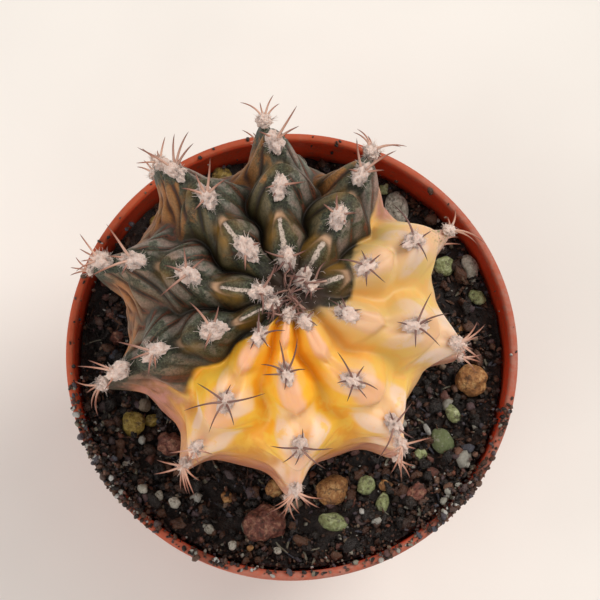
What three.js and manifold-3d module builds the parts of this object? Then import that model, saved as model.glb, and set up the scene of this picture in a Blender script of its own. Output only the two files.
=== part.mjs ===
// Potted moon cactus: a small two-coloured chin cactus on its own short neck, standing in
// gritty soil in a thin round plastic pot, with pebbles bedded in the soil.
// Millimetres, +Z up, origin in the middle of the pot's underside, +X to the viewer's right.

import * as THREE from 'three';
import * as BufferGeometryUtils from 'three/addons/utils/BufferGeometryUtils.js';
import Module from 'manifold-3d';

const wasm = await Module();
wasm.setup();

// Pot
const POT_HEIGHT = 56;
const RIM_RADIUS = 32.5;
const RIM_WIDTH = 1.3;
const COLLAR_HEIGHT = 9;
const WALL = 1.2;
const WALL_TOP_RADIUS = 31.1;
const FOOT_RADIUS = 23;
const FLOOR = 1.6;
const FOOT_RING_WIDTH = 1.6;
const FOOT_PAD_RADIUS = 7;
const FOOT_GROOVE = 0.7;
const POT_FACETS = 52;
const DRAIN_COUNT = 6;
const DRAIN_RADIUS = 1.9;
const DRAIN_CIRCLE = 14;

// Soil
const SOIL_LEVEL = 51.2;
const SOIL_CLEARANCE = 0.3;
const SOIL_FACETS = 56;
const SOIL_RINGS = 9;

// Cactus body
const RING_HEIGHT = POT_HEIGHT + 13.5;
const RING_RADIUS = 25.6;
const RING_X = -2.3;
const RING_Y = 3.9;
const DOME = 14.5;
const CROWN_SHIFT = 2;
const CROWN_DIP = 2.6;
const SKIRT = 18;
const NECK_RADIUS = 9;
const NECK_DEPTH = 6;
const RIB_DEPTH = 4.4;
const TUBERCLE = 1.9;
const FOLD = 0.42;
const CHIN_SLANT = 0.24;
const BODY_ROWS = 25;
const COLUMNS_PER_RIB = 9;

// Wool pads and spines
const PAD_RADIUS = 1.3;
const SPINE_RADIUS = 0.24;
const SPINE_LIFT = 0.42;
const SPINE_ARCH = 0.13;
const STRAIGHT_BELOW = 3.3;

// Ribs, anticlockwise from the right. Each has its direction at the crown and at the widest
// ring, and its reach as a share of the mean radius. The depth of the furrow after it and the
// height of the folds on its flanks are shares of the common ones, and soft is how rounded that
// furrow is near the crown. Its areoles follow: angle down from the crown, wool pad size, then
// the spines as seen from above, each with its direction in degrees and its length.
const RIBS = [
  {
    crown: 15, ring: 24, reach: 0.96, furrow: 1, soft: 0.4, pleat: 0.65,
    areoles: [
      { at: 4, pad: 0.72, spines: [[35, 2.2], [150, 2.4], [-80, 1.8]] },
      { at: 20, pad: 0.95, spines: [[159, 4], [93, 2.1], [34, 2.4], [270, 2.9], [-46, 3.4]] },
      { at: 41, pad: 0.99, spines: [[107, 5.3], [-51, 3.1], [15, 2.4], [200, 2.2]] },
      { at: 75, pad: 0.99, spines: [[67, 3.4], [97, 1.9], [-3, 2.1], [-20, 2.6], [-36, 5], [-52, 4.1]] },
      { at: 100, pad: 0.72, spines: [[60, 3], [25, 3.4], [-10, 3.2]] },
    ],
  },
  {
    crown: 62, ring: 60.5, reach: 0.95, furrow: 1.05, soft: 0, pleat: 1,
    areoles: [
      { at: 4, pad: 0.95, spines: [[192, 2.1], [-68, 2.6], [70, 2]] },
      { at: 24, pad: 1.15, spines: [[100, 3], [147, 2.6], [10, 2.6], [-40, 1.8]] },
      { at: 46, pad: 1.15, spines: [[107, 4.6], [27, 5.4], [-2, 3.1], [170, 2]] },
      { at: 75, pad: 1.1, spines: [[114, 3.7], [134, 3.6], [-3, 4.7], [12, 3.9], [90, 2.4]] },
      { at: 100, pad: 0.8, spines: [[100, 3], [60, 3.4], [20, 3]] },
    ],
  },
  {
    crown: 109, ring: 96, reach: 1, furrow: 1.12, soft: 0, pleat: 1,
    areoles: [
      { at: 9, pad: 1.1, spines: [[164, 3.5], [20, 2.9], [238, 2.9], [-66, 2.4]] },
      { at: 31.5, pad: 1.15, spines: [[0, 3.7], [190, 2], [250, 2]] },
      { at: 53, pad: 1.15, spines: [[49, 5.4], [24, 3.7], [150, 2.6]] },
      { at: 80, pad: 1.1, spines: [[74, 4.1], [58, 3.3], [134, 4.1], [106, 2.7]] },
      { at: 104, pad: 0.9, spines: [[150, 3.3], [124, 2], [80, 3]] },
    ],
  },
  {
    crown: 146, ring: 132, reach: 1.02, furrow: 0.86, soft: 0, pleat: 1,
    areoles: [
      { at: 18, pad: 1.3, spines: [[264, 3.3], [20, 2], [110, 1.8]] },
      { at: 40, pad: 1.2, spines: [[80, 5], [126, 3.5], [164, 3.6], [240, 2.9], [43, 3.7]] },
      { at: 60, pad: 1.15, spines: [[75, 5.4], [54, 4.3], [158, 5.8], [98, 4.8]] },
      { at: 74, pad: 1.05, spines: [[76, 3.6], [203, 3.3], [106, 1.7], [150, 3]] },
      { at: 97, pad: 0.8, spines: [[160, 3.2], [120, 3], [90, 2.6]] },
    ],
  },
  {
    crown: 186, ring: 168, reach: 1.03, furrow: 0.92, soft: 0, pleat: 1,
    areoles: [
      { at: 10, pad: 1.1, spines: [[57, 4.2], [268, 3.7], [-20, 1.8]] },
      { at: 32, pad: 1.2, spines: [[102, 3.7], [45, 3.1], [225, 5.3], [157, 3.3]] },
      { at: 54, pad: 1.2, spines: [[121, 5.7], [207, 6.3], [166, 3.2], [237, 2.6]] },
      { at: 72, pad: 1.1, spines: [[122, 4.4], [206, 3.5], [151, 3.1], [180, 2.5]] },
      { at: 95, pad: 0.8, spines: [[200, 3], [170, 3.2], [140, 2.8]] },
    ],
  },
  {
    crown: 211, ring: 204, reach: 1.015, furrow: 0.81, soft: 0.5, pleat: 1,
    areoles: [
      { at: 7.5, pad: 0.95, spines: [[250, 2], [150, 2], [30, 2]] },
      { at: 27, pad: 1.2, spines: [[127, 4.7], [69, 3.3], [251, 3.4]] },
      { at: 48, pad: 1.2, spines: [[170, 5.1], [205, 3.6], [259, 3.9], [-78, 2.7]] },
      { at: 68, pad: 1.15, spines: [[169, 5.2], [155, 4.1], [250, 3]] },
      { at: 90, pad: 1, spines: [[168, 3.7], [259, 3.6], [270, 3.3], [-66, 4.3], [215, 2.4]] },
    ],
  },
  {
    crown: 230, ring: 239, reach: 1.01, furrow: 0.62, soft: 1, pleat: 0.65,
    areoles: [
      { at: 17, pad: 0.85, spines: [[98, 3.8], [21, 3.3], [225, 1.9], [-40, 1.7]] },
      { at: 40, pad: 0.95, spines: [[145, 4.3], [84, 2.2], [188, 5.3], [-4, 5.1], [235, 4.3], [-59, 3.5]] },
      { at: 63, pad: 0.95, spines: [[191, 3.5], [-13, 2.9], [243, 2.2], [-81, 2.2]] },
      {
        at: 77, pad: 0.9,
        spines: [[202, 4.1], [166, 3.6], [258, 3.2], [277, 3.8], [-66, 3.9], [-54, 4.4], [-37, 3.3]],
      },
    ],
  },
  {
    crown: 252, ring: 273, reach: 1, furrow: 0.68, soft: 1, pleat: 0.65,
    areoles: [
      { at: 7, pad: 0.77, spines: [[60, 1.8], [200, 1.6]] },
      { at: 24.5, pad: 0.9, spines: [[101, 4.5], [55, 4.6], [22, 2.6], [147, 3.4], [193, 3], [273, 2.2]] },
      { at: 50, pad: 0.95, spines: [[75, 2.2], [186, 3.9], [-12, 3.8], [-55, 4], [230, 2.9], [267, 2.3]] },
      {
        at: 75, pad: 0.95,
        spines: [[210, 3.5], [224, 4.4], [246, 3.8], [277, 2.6], [313, 2.9], [324, 3.9], [348, 3.8]],
      },
      { at: 98, pad: 0.72, spines: [[250, 3], [285, 3.2], [310, 2.8]] },
    ],
  },
  {
    crown: 283, ring: 308, reach: 1, furrow: 0.76, soft: 1, pleat: 0.65,
    areoles: [
      { at: 9, pad: 0.85, spines: [[60, 1.8], [-20, 1.7], [170, 1.8]] },
      {
        at: 31.5, pad: 0.95,
        spines: [[117, 4.3], [56, 2.4], [-10, 3.3], [180, 2.2], [257, 2.9], [-59, 2.6]],
      },
      { at: 56, pad: 0.9, spines: [[67, 3.6], [111, 2.1], [-42, 3], [247, 4.5]] },
      { at: 70, pad: 0.95, spines: [[22, 4.1], [-13, 1.9], [245, 4.4], [256, 4.3], [264, 3.3], [207, 3.8]] },
      { at: 93, pad: 0.72, spines: [[280, 3], [310, 3.2], [340, 2.8]] },
    ],
  },
  {
    crown: 329, ring: 345, reach: 0.982, furrow: 0.77, soft: 1, pleat: 0.65,
    areoles: [
      { at: 15, pad: 0.95, spines: [[129, 2.8], [100, 2.5], [27, 1.8], [200, 1.6]] },
      { at: 38, pad: 0.99, spines: [[73, 4.6], [31, 4.5], [175, 2.6], [261, 3], [-40, 4.1], [15, 2.2]] },
      { at: 64, pad: 1.03, spines: [[46, 3.8], [33, 4.4], [22, 2.9], [-25, 2.1], [-40, 3.7], [-69, 2.1]] },
      { at: 90, pad: 0.72, spines: [[10, 3.2], [-20, 3], [-45, 3]] },
    ],
  },
];

// Pebbles: centre across and along, height over the soil, half sizes, turn in degrees, sort
const PEBBLES = [
  { x: 22.5, y: 13.6, up: 0.5, half: [1.7, 1.6, 1.3], turn: 20, sort: 'pebble_green' },
  { x: 26.2, y: 13.6, up: 0.4, half: [1.3, 2.1, 1.2], turn: 15, sort: 'pebble_pale' },
  { x: 27.2, y: 9.1, up: 0.3, half: [1.5, 1.1, 1], turn: -30, sort: 'pebble_green' },
  { x: 15.6, y: 22.6, up: 0.5, half: [1.9, 2.8, 1.5], turn: 10, sort: 'pebble_pale' },
  { x: 26, y: -3.4, up: 0.8, half: [2.6, 2.5, 2.1], turn: 0, sort: 'pebble_brown' },
  { x: 5.8, y: -19.4, up: 0.6, half: [2.6, 2.3, 1.8], turn: 35, sort: 'pebble_brown' },
  { x: 10.7, y: -18.7, up: 0.5, half: [1.5, 1.4, 1.2], turn: 50, sort: 'pebble_green' },
  { x: 13, y: -21.3, up: 0.4, half: [1, 1.7, 1], turn: -15, sort: 'pebble_green' },
  { x: 5.9, y: -24, up: 0.3, half: [2.3, 1.4, 1.1], turn: -10, sort: 'pebble_green' },
  { x: 23.3, y: -8.4, up: 0.3, half: [1, 1.5, 1], turn: 30, sort: 'pebble_green' },
  { x: 21.7, y: -12.2, up: 0.5, half: [1.7, 2.1, 1.4], turn: 25, sort: 'pebble_pale' },
  { x: 17.8, y: -20, up: 0.4, half: [1.6, 1.3, 1.2], turn: 40, sort: 'pebble_red' },
  { x: -4.1, y: -24.2, up: 0.6, half: [3.1, 2.8, 2], turn: 15, sort: 'pebble_red' },
  { x: -2.5, y: -19.2, up: 0.4, half: [1.5, 1.3, 1.1], turn: 60, sort: 'pebble_brown' },
  { x: -22.8, y: -10, up: 0.5, half: [1.9, 2, 1.5], turn: 0, sort: 'pebble_olive' },
  { x: -17.6, y: -12.9, up: 0.4, half: [2, 1.9, 1.5], turn: 30, sort: 'pebble_red' },
  { x: -25.4, y: 2.9, up: 0.3, half: [1.2, 1.1, 1], turn: 45, sort: 'pebble_red' },
  { x: 0.6, y: 27.4, up: 1.1, half: [2.9, 1.9, 1.9], turn: -15, sort: 'pebble_olive' },
];
const PEBBLE_GAP = 0.3;

const COLOURS = {
  pot_plastic: { color: 0xa8492f, roughness: 0.42 },
  soil: { color: 0x241c1a, roughness: 0.95 },
  cactus_skin: { color: 0xd9a24a, roughness: 0.5 },
  pebble_green: { color: 0x7f9468, roughness: 0.7 },
  pebble_pale: { color: 0xb9b8ae, roughness: 0.65 },
  pebble_brown: { color: 0xa6703f, roughness: 0.75 },
  pebble_red: { color: 0x84452f, roughness: 0.75 },
  pebble_olive: { color: 0x8d7f3c, roughness: 0.75 },
};

const rad = (degrees) => degrees * Math.PI / 180;

function smooth(from, to, value) {
  const t = Math.min(1, Math.max(0, (value - from) / (to - from)));
  return t * t * (3 - 2 * t);
}

function mix(a, b, t) {
  return a + (b - a) * t;
}

// Repeatable noise between 0 and 1 on a whole-number lattice
function hash(a, b, c) {
  const s = Math.sin(a * 127.1 + b * 311.7 + c * 74.7) * 43758.5453;
  return s - Math.floor(s);
}

function noise(x, y, layer) {
  const i = Math.floor(x);
  const j = Math.floor(y);
  const u = smooth(0, 1, x - i);
  const v = smooth(0, 1, y - j);
  const near = mix(hash(i, j, layer), hash(i + 1, j, layer), u);
  const far = mix(hash(i, j + 1, layer), hash(i + 1, j + 1, layer), u);
  return mix(near, far, v);
}

// Solid from rings of points round an axis, listed from the lower middle up to the upper
// middle; the first and last entries are single points.
function ringSolid(rings) {
  const count = rings[1].length;
  const points = [rings[0][0]];
  for (const ring of rings.slice(1, -1)) {
    points.push(...ring);
  }
  points.push(rings[rings.length - 1][0]);
  const last = points.length - 1;
  const faces = [];
  const at = (row, column) => 1 + row * count + (column % count);
  const rows = rings.length - 2;
  for (let j = 0; j < count; j += 1) {
    faces.push(0, at(0, j + 1), at(0, j));
    faces.push(last, at(rows - 1, j), at(rows - 1, j + 1));
  }
  for (let i = 0; i < rows - 1; i += 1) {
    for (let j = 0; j < count; j += 1) {
      faces.push(at(i, j), at(i, j + 1), at(i + 1, j + 1));
      faces.push(at(i, j), at(i + 1, j + 1), at(i + 1, j));
    }
  }
  return solid(points, faces);
}

function solid(points, faces) {
  return new wasm.Manifold(new wasm.Mesh({
    numProp: 3,
    vertProperties: new Float32Array(points.flat()),
    triVerts: new Uint32Array(faces),
  }));
}

function solidFromGeometry(geometry) {
  geometry.deleteAttribute('normal');
  geometry.deleteAttribute('uv');
  const merged = BufferGeometryUtils.mergeVertices(geometry, 1e-4);
  return new wasm.Manifold(new wasm.Mesh({
    numProp: 3,
    vertProperties: new Float32Array(merged.attributes.position.array),
    triVerts: new Uint32Array(merged.index.array),
  }));
}

// Outer skin of the largest piece: sealed pockets are filled and loose scraps dropped
function outerSkin(shape) {
  const data = shape.getMesh();
  const parent = Array.from({ length: data.vertProperties.length / 3 }, (_, i) => i);
  const find = (i) => {
    let root = i;
    while (parent[root] !== root) {
      root = parent[root];
    }
    parent[i] = root;
    return root;
  };
  for (let i = 0; i < data.triVerts.length; i += 3) {
    parent[find(data.triVerts[i])] = find(data.triVerts[i + 1]);
    parent[find(data.triVerts[i])] = find(data.triVerts[i + 2]);
  }
  const skins = new Map();
  for (let i = 0; i < data.triVerts.length; i += 3) {
    const root = find(data.triVerts[i]);
    if (!skins.has(root)) {
      skins.set(root, []);
    }
    skins.get(root).push(...data.triVerts.slice(i, i + 3));
  }
  const faces = [...skins.values()].sort((a, b) => b.length - a.length)[0];
  return new wasm.Manifold(new wasm.Mesh({
    numProp: 3,
    vertProperties: data.vertProperties,
    triVerts: new Uint32Array(faces),
  }));
}

function toMesh(shape, name, sort) {
  const data = shape.getMesh();
  const geometry = new THREE.BufferGeometry();
  geometry.setAttribute('position', new THREE.BufferAttribute(data.vertProperties, 3));
  geometry.setIndex(new THREE.BufferAttribute(data.triVerts, 1));
  geometry.computeVertexNormals();
  const look = COLOURS[sort];
  const material = new THREE.MeshStandardMaterial({
    name: sort,
    color: look.color,
    roughness: look.roughness,
    metalness: 0,
  });
  const mesh = new THREE.Mesh(geometry, material);
  mesh.name = name;
  return mesh;
}

// Crest of a rib in its own upright plane: radius and height over the ring
function crestProfile(theta) {
  if (theta > 90) {
    const turn = rad(90 * Math.min(1, (theta - 90) / 60));
    const radius = NECK_RADIUS + (RING_RADIUS - NECK_RADIUS) * Math.max(0, Math.cos(turn)) ** 0.9;
    return [radius, -SKIRT * Math.sin(turn)];
  }
  const radius = RING_RADIUS * Math.max(0, Math.sin(rad(theta))) ** 0.92;
  const height = DOME * Math.max(0, Math.cos(rad(theta))) ** 0.9;
  return [radius, height - CROWN_DIP * Math.exp(-((radius / 4.5) ** 2))];
}

// Areole count along a rib: a whole number at each areole, growing towards the neck
function areoleCount(rib, theta) {
  const levels = rib.areoles.map((areole) => areole.at);
  if (theta <= levels[0]) {
    return (theta - levels[0]) / 20;
  }
  for (let i = 1; i < levels.length; i += 1) {
    if (theta <= levels[i]) {
      return i - 1 + (theta - levels[i - 1]) / (levels[i] - levels[i - 1]);
    }
  }
  return levels.length - 1 + (theta - levels[levels.length - 1]) / 23;
}

// Swelling of the tubercle below each areole, zero in the crease that follows it
function chin(count) {
  const share = count + 0.42 - Math.floor(count + 0.42);
  return Math.sin(Math.PI * share ** 1.5);
}

// Point on the body: u counts ribs anticlockwise, theta is the angle down from the crown
function bodyPoint(u, theta) {
  const total = RIBS.length;
  const turned = u - total * Math.floor(u / total);
  const k = Math.floor(turned) % total;
  const v = turned - Math.floor(turned);
  const here = RIBS[k];
  const next = RIBS[(k + 1) % total];
  const wrap = k + 1 === total ? 360 : 0;
  const spread = smooth(4, 45, theta);
  const azimuthHere = mix(here.crown, here.ring, spread);
  const azimuthNext = mix(next.crown, next.ring, spread) + wrap;
  const countHere = areoleCount(here, theta);
  const countNext = areoleCount(next, theta);
  const live = smooth(2, 14, theta) * (1 - smooth(100, 135, theta));
  const valley = 0.5 + 0.1 * (chin(countHere) - chin(countNext)) * live;
  const first = v < 0.5;
  const away = first ? v / 0.5 : (1 - v) / 0.5;
  const share = first ? away * valley : 1 - away * (1 - valley);
  const azimuth = rad(mix(azimuthHere, azimuthNext, share));
  const count = first ? countHere : countNext;
  const swell = chin(count + CHIN_SLANT * away);

  const power = 2.2 - 1.15 * smooth(25, 75, theta);
  const pinch = 1 + 3.6 * smooth(32, 77, theta);
  const round = 0.17 - 0.08 * smooth(40, 80, theta);
  const eased = (Math.hypot(away, round) - round) / (Math.hypot(1, round) - round);
  const sharp = Math.max(0, 1 - eased ** power) ** pinch;
  const softness = here.soft * (1 - smooth(40, 66, theta));
  const crest = mix(sharp, 1 - smooth(0.2, 1, away), softness);
  const common = RIB_DEPTH * smooth(1, 24, theta) * (1 - 0.8 * smooth(105, 145, theta))
    + 1.3 * smooth(55, 85, theta) * (1 - smooth(95, 125, theta));
  const depth = common * mix(1, here.furrow, smooth(2, 24, theta));

  const crestWidth = 0.78 - 0.56 * smooth(45, 80, theta);
  const tubercle = (TUBERCLE + 0.7 * smooth(55, 85, theta)) * (swell - 0.6)
    * Math.exp(-((away / crestWidth) ** 2)) * (1 - away ** 4) * live
    * (0.5 + 0.5 * smooth(10, 35, theta)) * (1 - 0.75 * smooth(70, 92, theta));
  const slant = 0.35 + 0.45 * smooth(25, 65, theta);
  const pleat = first ? here.pleat : next.pleat;
  const fold = FOLD * pleat * Math.cos(4 * Math.PI * (count + slant * away))
    * Math.sin(Math.PI * away ** 0.8) * live;
  const lift = (crest - 1) * depth + tubercle + fold;

  const [radius, height] = crestProfile(theta);
  const [radiusBefore, heightBefore] = crestProfile(Math.max(0, theta - 0.5));
  const [radiusAfter, heightAfter] = crestProfile(theta + 0.5);
  const along = Math.hypot(radiusAfter - radiusBefore, heightAfter - heightBefore);
  const outward = (heightBefore - heightAfter) / along;
  const upward = (radiusAfter - radiusBefore) / along;
  const reach = 1 + (mix(here.reach, next.reach, smooth(0, 1, share)) - 1) * smooth(20, 80, theta)
    * (1 - smooth(110, 145, theta));
  const distance = Math.max(0.05, radius * reach + outward * lift);
  const shift = CROWN_SHIFT * Math.min(1, Math.max(0, height / DOME));
  return [
    RING_X + shift + distance * Math.cos(azimuth),
    RING_Y + distance * Math.sin(azimuth),
    RING_HEIGHT + height + upward * lift,
  ];
}

function circle(x, y, z, radius, count) {
  const ring = [];
  for (let j = 0; j < count; j += 1) {
    const angle = 2 * Math.PI * j / count;
    ring.push([x + radius * Math.cos(angle), y + radius * Math.sin(angle), z]);
  }
  return ring;
}

// Body from the foot of its neck up to the crown
function bodySolid() {
  const columns = RIBS.length * COLUMNS_PER_RIB;
  const neckBottom = RING_HEIGHT - SKIRT - NECK_DEPTH;
  const neck = (z, radius) => {
    const ring = [];
    for (let j = 0; j < columns; j += 1) {
      const [x, y] = bodyPoint(j / COLUMNS_PER_RIB, 149);
      const angle = Math.atan2(y - RING_Y, x - RING_X);
      ring.push([RING_X + radius * Math.cos(angle), RING_Y + radius * Math.sin(angle), z]);
    }
    return ring;
  };
  const rings = [
    [[RING_X, RING_Y, neckBottom]],
    neck(neckBottom, NECK_RADIUS - 1.2),
    neck(RING_HEIGHT - SKIRT - 0.6, NECK_RADIUS - 0.5),
  ];
  for (let i = BODY_ROWS - 1; i >= 0; i -= 1) {
    const theta = mix(3, 146, i / (BODY_ROWS - 1));
    const ring = [];
    for (let j = 0; j < columns; j += 1) {
      ring.push(bodyPoint(j / COLUMNS_PER_RIB, theta));
    }
    rings.push(ring);
  }
  const top = bodyPoint(0, 0.2);
  rings.push([[RING_X + CROWN_SHIFT, RING_Y, top[2]]]);
  return ringSolid(rings);
}

// Areole frame: the point on the crest, the surface normal and the way down the rib
function areoleFrame(k, theta) {
  const point = new THREE.Vector3(...bodyPoint(k, theta));
  const down = new THREE.Vector3(...bodyPoint(k, theta + 3))
    .sub(new THREE.Vector3(...bodyPoint(k, theta - 3)))
    .normalize();
  const across = new THREE.Vector3(...bodyPoint(k + 0.1, theta))
    .sub(new THREE.Vector3(...bodyPoint(k - 0.1, theta)))
    .normalize();
  const normal = new THREE.Vector3().crossVectors(down, across).normalize();
  return { point, down, across, normal };
}

// Lumpy wool pad: a rough little ball pressed into the crest
function padSolid(frame, size, seed) {
  const ball = new THREE.IcosahedronGeometry(1, 0);
  ball.deleteAttribute('normal');
  ball.deleteAttribute('uv');
  const merged = BufferGeometryUtils.mergeVertices(ball, 1e-4);
  const position = merged.attributes.position;
  const points = [];
  for (let i = 0; i < position.count; i += 1) {
    const swell = PAD_RADIUS * size * (0.88 + 0.3 * hash(i, seed, 5));
    const offset = new THREE.Vector3()
      .addScaledVector(frame.down, position.getX(i) * swell * 1.08)
      .addScaledVector(frame.across, position.getY(i) * swell * 0.92)
      .addScaledVector(frame.normal, position.getZ(i) * swell * 0.85 + 0.25);
    points.push(frame.point.clone().add(offset).toArray());
  }
  return solid(points, Array.from(merged.index.array));
}

// Which way a spine leaves its pad, from its direction as seen from above
function spineDirection(frame, degrees, index) {
  const direction = new THREE.Vector3(Math.cos(rad(degrees)), Math.sin(rad(degrees)), 0);
  const steep = smooth(0.25, 0.8, frame.normal.z);
  const against = direction.dot(frame.normal);
  direction.addScaledVector(frame.normal, -against * mix(against > 0 ? 0.2 : 1.2, 1, steep));
  direction.z += (1 - steep) * 0.45 * Math.cos(2.4 * index + degrees);
  direction.normalize();
  return direction.addScaledVector(frame.normal, SPINE_LIFT).normalize();
}

// Three-sided needle, with one bend unless it is short, its root sunk in the pad
function spineSolid(frame, degrees, length, index) {
  const direction = spineDirection(frame, degrees, index);
  const side = new THREE.Vector3().crossVectors(direction, frame.normal).normalize();
  const over = new THREE.Vector3().crossVectors(side, direction).normalize();
  const root = frame.point.clone().addScaledVector(frame.normal, 0.15);
  const middle = root.clone().addScaledVector(direction, length * 0.55)
    .addScaledVector(over, length * SPINE_ARCH);
  const tip = root.clone().addScaledVector(direction, length * 1.02);
  const sections = length > STRAIGHT_BELOW
    ? [[root, SPINE_RADIUS], [middle, SPINE_RADIUS * 0.72]]
    : [[root, SPINE_RADIUS]];
  const points = [];
  for (const [centre, radius] of sections) {
    for (let i = 0; i < 3; i += 1) {
      const angle = rad(120 * i + 90);
      points.push(centre.clone()
        .addScaledVector(side, radius * Math.cos(angle))
        .addScaledVector(over, radius * Math.sin(angle))
        .toArray());
    }
  }
  points.push(tip.toArray());
  const faces = [0, 1, 2];
  for (let i = 0; i < 3; i += 1) {
    const j = (i + 1) % 3;
    if (sections.length > 1) {
      faces.push(j, i, 3 + j, 3 + j, i, 3 + i);
    }
    const top = points.length - 4;
    faces.push(top + j, top + i, points.length - 1);
  }
  return solid(points, faces);
}

function cactusSolid() {
  const parts = [bodySolid()];
  RIBS.forEach((rib, k) => {
    rib.areoles.forEach((areole, row) => {
      const frame = areoleFrame(k, areole.at);
      parts.push(padSolid(frame, areole.pad, k * 10 + row));
      areole.spines.forEach(([degrees, length], index) => {
        parts.push(spineSolid(frame, degrees, length, index));
      });
    });
  });
  return outerSkin(wasm.Manifold.union(parts));
}

// Pot profile from the middle of the underside, round the rim, to the middle of the floor
function potProfile() {
  const collarTop = POT_HEIGHT - RIM_WIDTH / 2;
  const collarBottom = POT_HEIGHT - COLLAR_HEIGHT;
  const rimInner = RIM_RADIUS - RIM_WIDTH;
  const innerFoot = FOOT_RADIUS - WALL;
  return [
    [FOOT_PAD_RADIUS, 0],
    [FOOT_PAD_RADIUS + 0.6, FOOT_GROOVE],
    [FOOT_RADIUS - FOOT_RING_WIDTH - 0.6, FOOT_GROOVE],
    [FOOT_RADIUS - FOOT_RING_WIDTH, 0],
    [FOOT_RADIUS - 0.4, 0],
    [FOOT_RADIUS, 0.5],
    [WALL_TOP_RADIUS, collarBottom - 0.9],
    [RIM_RADIUS - 0.4, collarBottom],
    [RIM_RADIUS, collarTop],
    [RIM_RADIUS - 0.2, POT_HEIGHT - 0.2],
    [RIM_RADIUS - RIM_WIDTH / 2, POT_HEIGHT],
    [rimInner + 0.2, POT_HEIGHT - 0.2],
    [rimInner, collarTop],
    [rimInner - 0.4, collarBottom + 0.3],
    [WALL_TOP_RADIUS - WALL, collarBottom - 1.2],
    [innerFoot, FLOOR + 1],
    [innerFoot - 1, FLOOR],
  ];
}

function potInnerRadius(z) {
  const profile = potProfile().slice(12);
  for (let i = 1; i < profile.length; i += 1) {
    const [outer, top] = profile[i - 1];
    const [inner, bottom] = profile[i];
    if (z >= bottom) {
      return mix(inner, outer, Math.min(1, (z - bottom) / (top - bottom)));
    }
  }
  return profile[profile.length - 1][0];
}

function potSolid() {
  const rings = potProfile().map(([radius, z]) => circle(0, 0, z, radius, POT_FACETS));
  const pot = ringSolid([[[0, 0, 0]], ...rings, [[0, 0, FLOOR]]]);
  const drains = [];
  for (let i = 0; i < DRAIN_COUNT; i += 1) {
    const drill = new THREE.CylinderGeometry(DRAIN_RADIUS, DRAIN_RADIUS, 6, 10);
    drill.rotateX(Math.PI / 2);
    const angle = 2 * Math.PI * (i + 0.5) / DRAIN_COUNT;
    drill.translate(DRAIN_CIRCLE * Math.cos(angle), DRAIN_CIRCLE * Math.sin(angle), 0);
    drains.push(solidFromGeometry(drill));
  }
  return pot.subtract(wasm.Manifold.union(drains));
}

// Soil surface: lower at the far side, heaped against the wall at the two near corners
function soilHeight(x, y) {
  const distance = Math.hypot(x, y);
  const azimuth = Math.atan2(y, x) * 180 / Math.PI;
  const nearPlant = 1 - smooth(11, 17, Math.hypot(x - RING_X, y - RING_Y));
  const wall = smooth(20, 30.5, distance);
  const left = Math.exp(-(((azimuth + 132) / 34) ** 2));
  const right = Math.exp(-(((azimuth + 48) / 30) ** 2));
  const far = smooth(8, 30, y);
  const rough = noise(x / 2.1 + 40, y / 2.1 + 40, 1) - 0.5;
  const fine = noise(x / 0.9 + 80, y / 0.9 + 80, 2) - 0.5;
  const relief = (1.3 * rough + 0.8 * fine) * (1 - nearPlant);
  return SOIL_LEVEL - 0.3 * nearPlant - 2.3 * far + wall * (2.6 * left + 2.2 * right + 0.2) + relief;
}

function soilSolid() {
  const bottom = FLOOR + SOIL_CLEARANCE;
  const step = POT_HEIGHT - COLLAR_HEIGHT;
  const inside = (z, less) => circle(0, 0, z, potInnerRadius(z) - less, SOIL_FACETS);
  const rings = [
    [[0, 0, bottom]],
    inside(bottom, 1),
    inside(bottom + 1.4, SOIL_CLEARANCE + 0.1),
    inside(step - 1.5, SOIL_CLEARANCE + 0.1),
    inside(step + 0.7, SOIL_CLEARANCE + 0.05),
  ];
  const edge = potInnerRadius(step + 2) - SOIL_CLEARANCE - 0.05;
  for (let i = SOIL_RINGS; i >= 1; i -= 1) {
    const radius = edge * (i / SOIL_RINGS) ** 0.85;
    rings.push(circle(0, 0, 0, radius, SOIL_FACETS).map(([x, y]) => [x, y, soilHeight(x, y)]));
  }
  rings.push([[0, 0, soilHeight(0, 0)]]);
  const hole = new THREE.CylinderGeometry(NECK_RADIUS + 0.35, NECK_RADIUS - 0.5, 20, 45);
  hole.rotateX(Math.PI / 2);
  hole.translate(RING_X, RING_Y, RING_HEIGHT - SKIRT - NECK_DEPTH - 0.35 + 10);
  return { bed: ringSolid(rings), hole: solidFromGeometry(hole) };
}

// Pebble as a dented ball; grow widens it evenly for its dimple in the soil
function pebbleSolid(pebble, index, grow) {
  const ball = new THREE.IcosahedronGeometry(1, 1);
  ball.deleteAttribute('normal');
  ball.deleteAttribute('uv');
  const merged = BufferGeometryUtils.mergeVertices(ball, 1e-4);
  const position = merged.attributes.position;
  const turn = rad(pebble.turn);
  const points = [];
  for (let i = 0; i < position.count; i += 1) {
    const [a, b, c] = [position.getX(i), position.getY(i), position.getZ(i)];
    const dent = 1 - 0.16 * noise(a * 1.6 + index * 7 + 20, b * 1.6 + c * 1.3 + 20, 3);
    const x = a * (pebble.half[0] * dent + grow);
    const y = b * (pebble.half[1] * dent + grow);
    points.push([
      pebble.x + x * Math.cos(turn) - y * Math.sin(turn),
      pebble.y + x * Math.sin(turn) + y * Math.cos(turn),
      soilHeight(pebble.x, pebble.y) + pebble.up + c * (pebble.half[2] * dent + grow),
    ]);
  }
  return solid(points, Array.from(merged.index.array));
}

const group = new THREE.Group();
group.name = 'potted_moon_cactus';
group.add(toMesh(potSolid(), 'pot', 'pot_plastic'));

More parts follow.
